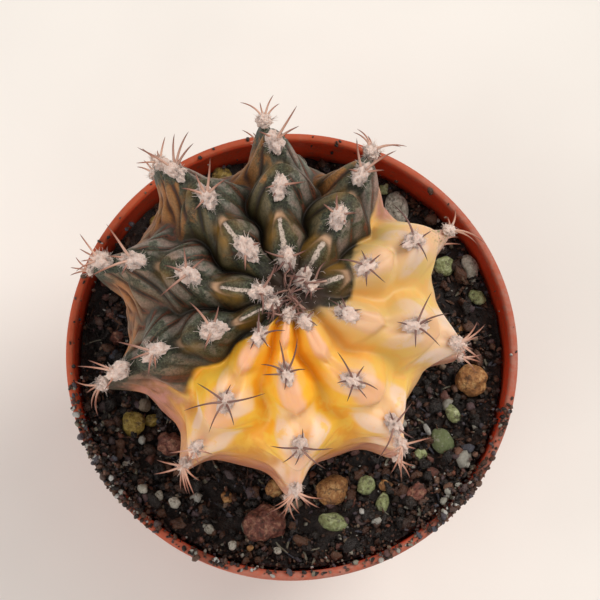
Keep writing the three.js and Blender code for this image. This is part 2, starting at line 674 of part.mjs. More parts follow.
const { bed, hole } = soilSolid();
let soil = bed.subtract(hole);
PEBBLES.forEach((pebble, index) => {
  soil = soil.subtract(pebbleSolid(pebble, index, PEBBLE_GAP * 1.15));
});
group.add(toMesh(outerSkin(soil), 'soil', 'soil'));
group.add(toMesh(cactusSolid(), 'cactus', 'cactus_skin'));
PEBBLES.forEach((pebble, index) => {
  const name = `pebble_${String(index + 1).padStart(2, '0')}`;
  group.add(toMesh(pebbleSolid(pebble, index, 0), name, pebble.sort));
});

export default group;
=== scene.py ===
"""Looks of the potted moon cactus: a half green, half yellow chin cactus in a round plastic pot."""

import math

import bmesh
import bpy
import numpy as np
from mathutils import Matrix, Vector


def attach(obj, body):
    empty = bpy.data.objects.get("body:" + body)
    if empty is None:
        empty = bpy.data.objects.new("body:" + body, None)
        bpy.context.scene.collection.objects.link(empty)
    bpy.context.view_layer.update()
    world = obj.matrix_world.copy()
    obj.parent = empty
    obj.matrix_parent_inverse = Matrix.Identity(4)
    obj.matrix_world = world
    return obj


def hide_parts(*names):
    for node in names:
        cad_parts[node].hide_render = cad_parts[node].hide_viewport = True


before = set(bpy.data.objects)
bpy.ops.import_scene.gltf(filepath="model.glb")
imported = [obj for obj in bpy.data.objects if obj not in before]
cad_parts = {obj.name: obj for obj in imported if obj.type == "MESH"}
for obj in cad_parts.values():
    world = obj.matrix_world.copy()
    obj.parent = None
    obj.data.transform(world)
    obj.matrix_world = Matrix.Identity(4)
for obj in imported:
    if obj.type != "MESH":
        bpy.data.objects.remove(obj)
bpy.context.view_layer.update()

MM = 0.001
rng = np.random.default_rng(7)

# Sizes in millimetres, as in the model of the part
POT_HEIGHT = 56.0
RIM_RADIUS = 32.5
RIM_WIDTH = 1.3
COLLAR_HEIGHT = 9.0
WALL = 1.2
WALL_TOP_RADIUS = 31.1
FOOT_RADIUS = 23.0
FLOOR = 1.6
FOOT_RING_WIDTH = 1.6
FOOT_PAD_RADIUS = 7.0
FOOT_GROOVE = 0.7
DRAIN_COUNT = 6
DRAIN_RADIUS = 1.9
DRAIN_CIRCLE = 14.0
SOIL_LEVEL = 51.2
RING_HEIGHT = POT_HEIGHT + 13.5
RING_RADIUS = 25.6
RING_X = -2.3
RING_Y = 3.9
DOME = 14.5
CROWN_SHIFT = 2.0
CROWN_DIP = 2.6
SKIRT = 18.0
NECK_RADIUS = 9.0
NECK_DEPTH = 6.0
RIB_DEPTH = 4.4
TUBERCLE = 1.9
FOLD = 0.42
CHIN_SLANT = 0.24
PAD_RADIUS = 1.3
SPINE_RADIUS = 0.2
SPINE_LIFT = 0.42
SPINE_ARCH = 0.13

# Angles down from the crown: where its own areoles end, where those of the outline start, the neck
CROWN_ANGLE = 12
OUTLINE_ANGLE = 62
NECK_ANGLE = 150.0

# Crumbs stay inside this radius, where the pot's wall is
WALL_INSIDE = 30.75

# Rows and columns of the fine surfaces, and how many small things are made
BODY_GRID = (210, 440)
SOIL_GRID = (72, 200)
SPINE_SIDES = 6
YOUNG_SPINES = 44
HAIRS_IN_TUFT = 9
CROWN_HAIRS = 180
RIM_CRUMBS = 2100
# Some shreds are left out where they would touch the plant or the pot
BARK_TRIES = 750

# Ribs anticlockwise from the right: direction at the crown and at the ring, reach, and the
# areoles as (angle down from the crown, pad size, [(direction seen from above, length)]).
RIBS = [
    (15, 24, 0.96, [
        (4, 0.72, [(35, 2.2), (150, 2.4), (-80, 1.8)]),
        (20, 0.95, [(159, 4), (93, 2.1), (34, 2.4), (270, 2.9), (-46, 3.4)]),
        (41, 0.99, [(107, 5.3), (-51, 3.1), (15, 2.4), (200, 2.2)]),
        (75, 0.99, [(67, 3.4), (97, 1.9), (-3, 2.1), (-20, 2.6), (-36, 5), (-52, 4.1)]),
        (100, 0.72, [(60, 3), (25, 3.4), (-10, 3.2)]),
    ]),
    (62, 60.5, 0.95, [
        (4, 0.95, [(192, 2.1), (-68, 2.6), (70, 2)]),
        (24, 1.15, [(100, 3), (147, 2.6), (10, 2.6), (-40, 1.8)]),
        (46, 1.15, [(107, 4.6), (27, 5.4), (-2, 3.1), (170, 2)]),
        (75, 1.1, [(114, 3.7), (134, 3.6), (-3, 4.7), (12, 3.9), (90, 2.4)]),
        (100, 0.8, [(100, 3), (60, 3.4), (20, 3)]),
    ]),
    (109, 96, 1, [
        (9, 1.1, [(164, 3.5), (20, 2.9), (238, 2.9), (-66, 2.4)]),
        (31.5, 1.15, [(0, 3.7), (190, 2), (250, 2)]),
        (53, 1.15, [(49, 5.4), (24, 3.7), (150, 2.6)]),
        (80, 1.1, [(74, 4.1), (58, 3.3), (134, 4.1), (106, 2.7)]),
        (104, 0.9, [(150, 3.3), (124, 2), (80, 3)]),
    ]),
    (146, 132, 1.02, [
        (18, 1.3, [(264, 3.3), (20, 2), (110, 1.8)]),
        (40, 1.2, [(80, 5), (126, 3.5), (164, 3.6), (240, 2.9), (43, 3.7)]),
        (60, 1.15, [(75, 5.4), (54, 4.3), (158, 5.8), (98, 4.8)]),
        (74, 1.05, [(76, 3.6), (203, 3.3), (106, 1.7), (150, 3)]),
        (97, 0.8, [(160, 3.2), (120, 3), (90, 2.6)]),
    ]),
    (186, 168, 1.03, [
        (10, 1.1, [(57, 4.2), (268, 3.7), (-20, 1.8)]),
        (32, 1.2, [(102, 3.7), (45, 3.1), (225, 5.3), (157, 3.3)]),
        (54, 1.2, [(121, 5.7), (207, 6.3), (166, 3.2), (237, 2.6)]),
        (72, 1.1, [(122, 4.4), (206, 3.5), (151, 3.1), (180, 2.5)]),
        (95, 0.8, [(200, 3), (170, 3.2), (140, 2.8)]),
    ]),
    (211, 204, 1.015, [
        (7.5, 0.95, [(250, 2), (150, 2), (30, 2)]),
        (27, 1.2, [(127, 4.7), (69, 3.3), (251, 3.4)]),
        (48, 1.2, [(170, 5.1), (205, 3.6), (259, 3.9), (-78, 2.7)]),
        (68, 1.15, [(169, 5.2), (155, 4.1), (250, 3)]),
        (90, 1, [(168, 3.7), (259, 3.6), (270, 3.3), (-66, 4.3), (215, 2.4)]),
    ]),
    (230, 239, 1.01, [
        (17, 0.85, [(98, 3.8), (21, 3.3), (225, 1.9), (-40, 1.7)]),
        (40, 0.95, [(145, 4.3), (84, 2.2), (188, 5.3), (-4, 5.1), (235, 4.3), (-59, 3.5)]),
        (63, 0.95, [(191, 3.5), (-13, 2.9), (243, 2.2), (-81, 2.2)]),
        (77, 0.9, [(202, 4.1), (166, 3.6), (258, 3.2), (277, 3.8), (-66, 3.9), (-54, 4.4), (-37, 3.3)]),
    ]),
    (252, 273, 1, [
        (7, 0.77, [(60, 1.8), (200, 1.6)]),
        (24.5, 0.9, [(101, 4.5), (55, 4.6), (22, 2.6), (147, 3.4), (193, 3), (273, 2.2)]),
        (50, 0.95, [(75, 2.2), (186, 3.9), (-12, 3.8), (-55, 4), (230, 2.9), (267, 2.3)]),
        (75, 0.95, [(210, 3.5), (224, 4.4), (246, 3.8), (277, 2.6), (313, 2.9), (324, 3.9), (348, 3.8)]),
        (98, 0.72, [(250, 3), (285, 3.2), (310, 2.8)]),
    ]),
    (283, 308, 1, [
        (9, 0.85, [(60, 1.8), (-20, 1.7), (170, 1.8)]),
        (31.5, 0.95, [(117, 4.3), (56, 2.4), (-10, 3.3), (180, 2.2), (257, 2.9), (-59, 2.6)]),
        (56, 0.9, [(67, 3.6), (111, 2.1), (-42, 3), (247, 4.5)]),
        (70, 0.95, [(22, 4.1), (-13, 1.9), (245, 4.4), (256, 4.3), (264, 3.3), (207, 3.8)]),
        (93, 0.72, [(280, 3), (310, 3.2), (340, 2.8)]),
    ]),
    (329, 345, 0.982, [
        (15, 0.95, [(129, 2.8), (100, 2.5), (27, 1.8), (200, 1.6)]),
        (38, 0.99, [(73, 4.6), (31, 4.5), (175, 2.6), (261, 3), (-40, 4.1), (15, 2.2)]),
        (64, 1.03, [(46, 3.8), (33, 4.4), (22, 2.9), (-25, 2.1), (-40, 3.7), (-69, 2.1)]),
        (90, 0.72, [(10, 3.2), (-20, 3), (-45, 3)]),
    ]),
]
COUNT = len(RIBS)
GREEN_RIBS = (1, 2, 3, 4, 5)
# Depth of the furrow after each rib, as a share of the common depth
FURROWS = (1.0, 1.05, 1.12, 0.86, 0.92, 0.81, 0.62, 0.68, 0.76, 0.77)
# How rounded that furrow is near the crown
SOFTNESS = (0.4, 0, 0, 0, 0, 0.5, 1, 1, 1, 1)
# Height of the folds on each rib's flanks, likewise
PLEATS = (0.65, 1, 1, 1, 1, 1, 0.65, 0.65, 0.65, 0.65)

# Where green meets yellow on either side: (angle down from the crown, place in ribs)
RIGHT_BORDER = (
    (4, -2.0), (7, -1.08), (12, -0.82), (14.6, -0.5), (16.4, 0.2), (22, 0.42), (30, 0.5),
    (38, 0.58), (46, 0.68), (56, 0.78), (90, 0.86),
)
LEFT_BORDER = (
    (4, 6.4), (9, 6.2), (16, 5.84), (24, 5.6), (35, 5.48), (46, 5.51), (56, 5.45), (64, 5.31),
    (90, 5.25),
)

# Pebbles: centre, height over the soil, half sizes, turn, sort
PEBBLES = [
    (22.5, 13.6, 0.5, (1.7, 1.6, 1.3), 20, "green"),
    (26.2, 13.6, 0.4, (1.3, 2.1, 1.2), 15, "pale"),
    (27.2, 9.1, 0.3, (1.5, 1.1, 1.0), -30, "green"),
    (15.6, 22.6, 0.5, (1.9, 2.8, 1.5), 10, "pale"),
    (26.0, -3.4, 0.8, (2.6, 2.5, 2.1), 0, "brown"),
    (5.8, -19.4, 0.6, (2.6, 2.3, 1.8), 35, "brown"),
    (10.7, -18.7, 0.5, (1.5, 1.4, 1.2), 50, "green"),
    (13.0, -21.3, 0.4, (1.0, 1.7, 1.0), -15, "green"),
    (5.9, -24.0, 0.3, (2.3, 1.4, 1.1), -10, "green"),
    (23.3, -8.4, 0.3, (1.0, 1.5, 1.0), 30, "green"),
    (21.7, -12.2, 0.5, (1.7, 2.1, 1.4), 25, "pale"),
    (17.8, -20.0, 0.4, (1.6, 1.3, 1.2), 40, "red"),
    (-4.1, -24.2, 0.6, (3.1, 2.8, 2.0), 15, "red"),
    (-2.5, -19.2, 0.4, (1.5, 1.3, 1.1), 60, "brown"),
    (-22.8, -10.0, 0.5, (1.9, 2.0, 1.5), 0, "olive"),
    (-17.6, -12.9, 0.4, (2.0, 1.9, 1.5), 30, "red"),
    (-25.4, 2.9, 0.3, (1.2, 1.1, 1.0), 45, "red"),
    (0.6, 27.4, 1.1, (2.9, 1.9, 1.9), -15, "olive"),
]


# Formulas shared with the model of the part

def smooth(low, high, value):
    t = np.clip((value - low) / (high - low), 0.0, 1.0)
    return t * t * (3.0 - 2.0 * t)


def between(value, low, full, fade, high):
    """Rises from 0 to 1 between the first two limits and falls back between the last two."""
    return smooth(low, full, value) * (1 - smooth(fade, high, value))


def hill(distance, width, power=2):
    return np.exp(-((distance / width) ** power))


def mix(a, b, t):
    return a + (b - a) * t


def lattice(a, b, c):
    s = np.sin(a * 127.1 + b * 311.7 + c * 74.7) * 43758.5453
    return s - np.floor(s)


def noise(x, y, layer):
    i, j = np.floor(x), np.floor(y)
    u, v = smooth(0, 1, x - i), smooth(0, 1, y - j)
    near = mix(lattice(i, j, layer), lattice(i + 1, j, layer), u)
    far = mix(lattice(i, j + 1, layer), lattice(i + 1, j + 1, layer), u)
    return mix(near, far, v)


def noise3(points, scale, layer):
    """Smooth noise between 0 and 1 in space, at a given feature size."""
    p = np.asarray(points) / scale + 50.0
    i = np.floor(p)
    f = p - i
    f = f * f * (3.0 - 2.0 * f)
    total = 0.0
    for step in np.ndindex(2, 2, 2):
        x, y, z = (i[..., axis] + step[axis] for axis in range(3))
        a, b, c = (f[..., axis] if step[axis] else 1 - f[..., axis] for axis in range(3))
        total = total + lattice(x + 17.0 * z, y, layer) * (a * b * c)
    return total


def crest_profile(theta):
    """Radius and height of the rib crests at an angle from the crown."""
    theta = np.asarray(theta, float)
    below = theta > 90
    turn = np.radians(90 * np.clip((theta - 90) / 60, 0, 1))
    low_radius = NECK_RADIUS + (RING_RADIUS - NECK_RADIUS) * np.maximum(0, np.cos(turn)) ** 0.9
    low_height = -SKIRT * np.sin(turn)
    angle = np.radians(np.clip(theta, 0, 90))
    radius = RING_RADIUS * np.maximum(0, np.sin(angle)) ** 0.92
    height = DOME * np.maximum(0, np.cos(angle)) ** 0.9 - CROWN_DIP * hill(radius, 4.5)
    return np.where(below, low_radius, radius), np.where(below, low_height, height)


def areole_counts(theta):
    """Areole count along every rib: whole numbers at the areoles."""
    rows = []
    for rib in RIBS:
        levels = np.array([areole[0] for areole in rib[3]], float)
        inside = np.interp(theta, levels, np.arange(len(levels)))
        above = np.minimum(theta - levels[0], 0) / 20.0
        beyond = np.maximum(theta - levels[-1], 0) / 23.0
        rows.append(inside + above + beyond)
    return np.stack(rows)


def chin(count):
    share = count + 0.42 - np.floor(count + 0.42)
    return np.sin(np.pi * share ** 1.5)


def ledge(count):
    """Flat-topped tubercle that rises gently by its areole and drops off at its chin."""
    share = count + 0.39 - np.floor(count + 0.39)
    return between(share, 0.04, 0.46, 0.84, 1.0)


def body_point(u, theta):
    """Points on the body and the measures that its colours follow."""
    u, theta = np.broadcast_arrays(np.asarray(u, float), np.asarray(theta, float))
    shape = u.shape
    u, theta = u.ravel(), theta.ravel()
    turned = u - COUNT * np.floor(u / COUNT)
    k = np.floor(turned).astype(int) % COUNT
    v = turned - np.floor(turned)
    k2 = (k + 1) % COUNT
    crown, ring, reaches = np.array([rib[:3] for rib in RIBS], float).T
    spread = smooth(4, 45, theta)
    azimuth_here = mix(crown[k], ring[k], spread)
    azimuth_next = mix(crown[k2], ring[k2], spread) + np.where(k2 == 0, 360.0, 0.0)
    counts = areole_counts(theta)
    index = np.arange(theta.size)
    count_here, count_next = counts[k, index], counts[k2, index]
    live = between(theta, 2, 14, 100, 135)
    valley = 0.5 + 0.1 * (chin(count_here) - chin(count_next)) * live
    first = v < 0.5
    away = np.where(first, v / 0.5, (1 - v) / 0.5)
    share = np.where(first, away * valley, 1 - away * (1 - valley))
    azimuth = np.radians(mix(azimuth_here, azimuth_next, share))
    count = np.where(first, count_here, count_next)
    soft = np.array(SOFTNESS)[k]
    slanted = count + CHIN_SLANT * away
    swell = mix(chin(slanted), ledge(slanted), 0.5 + 0.5 * soft)

    power = 2.2 - 1.15 * smooth(25, 75, theta)
    pinch = 1 + 3.6 * smooth(32, 77, theta)
    rounding = 0.17 - 0.08 * smooth(40, 80, theta)
    eased = (np.hypot(away, rounding) - rounding) / (np.hypot(1, rounding) - rounding)
    sharp = np.maximum(0, 1 - eased ** power) ** pinch
    crest = mix(sharp, 1 - smooth(0.2, 1, away), soft * (1 - smooth(40, 66, theta)))
    depth = RIB_DEPTH * smooth(1, 24, theta) * (1 - 0.8 * smooth(105, 145, theta))
    depth = depth + 1.3 * between(theta, 55, 85, 95, 125)
    depth = depth * mix(1.0, np.array(FURROWS)[k], smooth(2, 24, theta))
    tubercle = (TUBERCLE + 0.7 * smooth(55, 85, theta)) * (swell - 0.6)
    tubercle = tubercle * hill(away, 0.78 - 0.56 * smooth(45, 80, theta)) * (1 - away ** 4) * live
    tubercle = tubercle * (0.5 + 0.5 * smooth(10, 35, theta)) * (1 - 0.75 * smooth(70, 92, theta))
    slant = 0.35 + 0.45 * smooth(25, 65, theta) + 0.5 * (1 - soft) * smooth(20, 50, theta)
    fold = count + slant * away
    ripple = 2 * np.abs(np.cos(2 * np.pi * fold)) ** 0.8 - 1
    facet = 2 * np.abs(np.cos(np.pi * (fold - 0.1))) ** 0.8 - 1
    wave = mix(ripple, facet, soft) * np.sin(np.pi * away ** 0.8) * live
    wave = wave * (1 - 0.45 * smooth(70, 90, theta))
    pleat = np.array(PLEATS)[np.where(first, k, k2)]
    lift = (crest - 1) * depth + tubercle + FOLD * pleat * wave

    # The ribs rise at right angles to the line of their crests
    radius, height = crest_profile(theta)
    way = np.subtract(crest_profile(theta + 0.5), crest_profile(np.maximum(0, theta - 0.5)))
    upward, inward = way / np.maximum(np.hypot(*way), 1e-9)
    reach = mix(reaches[k], reaches[k2], smooth(0, 1, share)) - 1
    reach = 1 + reach * between(theta, 20, 80, 110, 145)
    distance = np.maximum(0.05, radius * reach - inward * lift)
    shift = CROWN_SHIFT * np.clip(height / DOME, 0, 1)
    points = np.stack([
        RING_X + shift + distance * np.cos(azimuth),
        RING_Y + distance * np.sin(azimuth),
        RING_HEIGHT + height + upward * lift,
    ], -1)
    measures = {
        "u": turned, "theta": theta, "count": count, "wave": wave, "crest": crest, "swell": swell,
        "side": away * radius * math.pi / COUNT,
    }
    return points.reshape(shape + (3,)), {key: value.reshape(shape) for key, value in measures.items()}


def soil_height(x, y):
    azimuth = np.degrees(np.arctan2(y, x))
    near_plant = 1 - smooth(11, 17, np.hypot(x - RING_X, y - RING_Y))
    wall = smooth(20, 30.5, np.hypot(x, y))
    banks = 2.6 * hill(azimuth + 132, 34) + 2.2 * hill(azimuth + 48, 30) + 0.2
    rough = noise(x / 2.1 + 40, y / 2.1 + 40, 1) - 0.5
    fine = noise(x / 0.9 + 80, y / 0.9 + 80, 2) - 0.5
    relief = (1.3 * rough + 0.8 * fine) * (1 - near_plant)
    return SOIL_LEVEL - 0.3 * near_plant - 2.3 * smooth(8, 30, y) + wall * banks + relief


# Mesh helpers

def unit(vector):
    return vector / np.linalg.norm(vector, axis=-1, keepdims=True)


def turns(count):
    return np.arange(count) / count * 2 * np.pi


def circles(levels, angles, x0=0.0, y0=0.0):
    """One level circle of points for each radius and height."""
    radius, height = np.array(levels, float).T[..., None]
    x = x0 + radius * np.cos(angles)
    return np.stack([x, y0 + radius * np.sin(angles), height + 0 * x], -1)


def add_object(name, data):
    thing = bpy.data.objects.new(name, data)
    bpy.context.scene.collection.objects.link(thing)
    return thing


def add_mesh(name, vertices, faces, smooth_shading=True):
    mesh = bpy.data.meshes.new(name)
    vertices = np.asarray(vertices, np.float32)
    faces = np.asarray(faces, np.int32)
    corners = faces.shape[1]
    mesh.vertices.add(len(vertices))
    mesh.vertices.foreach_set("co", (vertices * MM).ravel())
    mesh.loops.add(faces.size)
    mesh.loops.foreach_set("vertex_index", faces.ravel())
    mesh.polygons.add(len(faces))
    mesh.polygons.foreach_set("loop_start", np.arange(0, faces.size, corners, dtype=np.int32))
    mesh.update(calc_edges=True)
    mesh.validate()
    mesh.polygons.foreach_set("use_smooth", np.full(len(faces), smooth_shading))
    return add_object(name, mesh)


def add_measure(thing, name, values):
    layer = thing.data.attributes.new(name, "FLOAT", "POINT")
    layer.data.foreach_set("value", np.asarray(values, np.float32).ravel())


def close_ends(thing, *loops):
    """Fill each loop of vertices with one face."""
    work = bmesh.new()
    work.from_mesh(thing.data)
    work.verts.ensure_lookup_table()
    for loop in loops:
        work.faces.new([work.verts[index] for index in loop])
    work.to_mesh(thing.data)
    work.free()


def ring_faces(rows, columns):
    i = np.repeat(np.arange(rows - 1), columns) * columns
    j = np.tile(np.arange(columns), rows - 1)
    j2 = (j + 1) % columns
    return np.stack([i + j, i + j2, i + columns + j2, i + columns + j], -1)


def ball(subdivisions):
    work = bmesh.new()
    bmesh.ops.create_icosphere(work, subdivisions=subdivisions, radius=1.0)
    vertices = np.array([list(v.co) for v in work.verts])
    faces = np.array([[v.index for v in f.verts] for f in work.faces])
    work.free()
    return vertices, faces


class Pile:
    """Many small shapes gathered into one mesh, with a few measures for each vertex."""

    def __init__(self):
        self.vertices, self.faces, self.measures, self.size = [], [], {}, 0

    def add(self, vertices, faces, **measures):
        self.vertices.append(vertices)
        self.faces.append(faces + self.size)
        self.size += len(vertices)
        for key, value in measures.items():
            column = np.broadcast_to(np.asarray(value, float), (len(vertices),))
            self.measures.setdefault(key, []).append(column)

    def build(self, name, smooth_shading=True):
        thing = add_mesh(name, np.concatenate(self.vertices), np.concatenate(self.faces), smooth_shading)
        for key, columns in self.measures.items():
            add_measure(thing, key, np.concatenate(columns))
        return thing


def tube(path, radii, sides):
    """Tapering tube along a path of points."""
    ways = unit(np.gradient(path, axis=0))
    start = np.array([0.0, 0.0, 1.0]) if abs(ways[0][2]) < 0.9 else np.array([1.0, 0.0, 0.0])
    side = unit(np.cross(ways, start))
    over = np.cross(side, ways)
    angles = turns(sides)[None, :, None]
    ring = np.cos(angles) * side[:, None, :] + np.sin(angles) * over[:, None, :]
    vertices = (path[:, None, :] + ring * radii[:, None, None]).reshape(-1, 3)
    quads = ring_faces(len(path), sides)
    return vertices, np.concatenate([quads[:, [0, 1, 2]], quads[:, [0, 2, 3]]])


# Material helpers

class Look:
    """A node material built step by step round one Principled shader."""

    def __init__(self, name):
        self.material = bpy.data.materials.new(name)
        self.material.use_nodes = True
        self.tree = self.material.node_tree
        self.shader = self.tree.nodes["Principled BSDF"]
        self.place = self.add("ShaderNodeTexCoord", "Object", {})

    def put(self, socket, value):
        if isinstance(value, bpy.types.NodeSocket):
            self.tree.links.new(value, socket)
        elif isinstance(value, tuple) and socket.type == "RGBA":
            socket.default_value = (*value, 1.0)
        else:
            socket.default_value = value

    def add(self, kind, output, inputs, **settings):
        """Add a node, fill in its settings and inputs, and give back one of its outputs."""
        made = self.tree.nodes.new(kind)
        for key, value in settings.items():
            setattr(made, key, value)
        for key, value in inputs.items():
            self.put(made.inputs[key], value)
        return made.outputs[output]

    def measure(self, name):
        return self.add("ShaderNodeAttribute", "Fac", {}, attribute_name=name)

    def axis(self, name):
        """Distance along one axis, in millimetres."""
        along = self.add("ShaderNodeSeparateXYZ", name, {0: self.place})
        return self.math("DIVIDE", along, MM)

    def noise(self, size, detail=3.0, rough=0.55, distortion=0.0):
        return self.add("ShaderNodeTexNoise", "Fac", {
            "Vector": self.place, "Scale": 1.0 / (size * MM), "Detail": detail, "Roughness": rough,
            "Distortion": distortion,
        })

    def cells(self, size):
        inputs = {"Vector": self.place, "Scale": 1.0 / (size * MM)}
        return self.add("ShaderNodeTexVoronoi", "Distance", inputs)

    def math(self, operation, a, b, clamp=False):
        return self.add("ShaderNodeMath", 0, {0: a, 1: b}, operation=operation, use_clamp=clamp)

    def times(self, value, *others):
        for other in others:
            value = self.math("MULTIPLY", value, other)
        return value

    def plus(self, value, *others):
        for other in others:
            value = self.math("ADD", value, other)
        return value

    def sway(self, value, size, middle=0.5):
        """How far a value lies from the middle, made larger or smaller."""
        return self.times(self.math("SUBTRACT", value, middle), size)

    def span(self, value, low, high, to_low=0.0, to_high=1.0):
        inputs = {"Value": value, "From Min": low, "From Max": high, "To Min": to_low, "To Max": to_high}
        return self.add("ShaderNodeMapRange", "Result", inputs, interpolation_type="SMOOTHSTEP")

    def ramp(self, value, *stops):
        made = self.tree.nodes.new("ShaderNodeValToRGB")
        self.put(made.inputs["Fac"], value)
        marks = made.color_ramp.elements
        while len(marks) < len(stops):
            marks.new(0.5)
        for mark, (position, colour) in zip(marks, stops):
            mark.position = position
            mark.color = (*colour, 1.0)
        return made.outputs["Color"]

    def blend(self, share, a, b, kind="MIX"):
        return self.add("ShaderNodeMix", 2, {"Factor": share, 6: a, 7: b}, data_type="RGBA", blend_type=kind)

    def coats(self, colour, *coats):
        """Lay colours over a first one, each by its own share."""
        for share, paint in coats:
            colour = self.blend(share, colour, paint)
        return colour

    def bump(self, height, depth, strength=1.0, under=None):
        inputs = {"Distance": depth * MM, "Strength": strength, "Height": height}
        if under is not None:
            inputs["Normal"] = under
        return self.add("ShaderNodeBump", "Normal", inputs)

    def set(self, **sockets):
        for key, value in sockets.items():
            self.put(self.shader.inputs[key.replace("_", " ")], value)

    def translucent(self, weight, radius, depth):
        self.set(Subsurface_Weight=weight, Subsurface_Radius=radius, Subsurface_Scale=depth * MM)


def dress(thing, look, slot, *nodes):
    thing.data.materials.clear()
    thing.data.materials.append(look.material)
    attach(thing, "root")
    if nodes:
        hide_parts(*nodes)


# Cactus skin

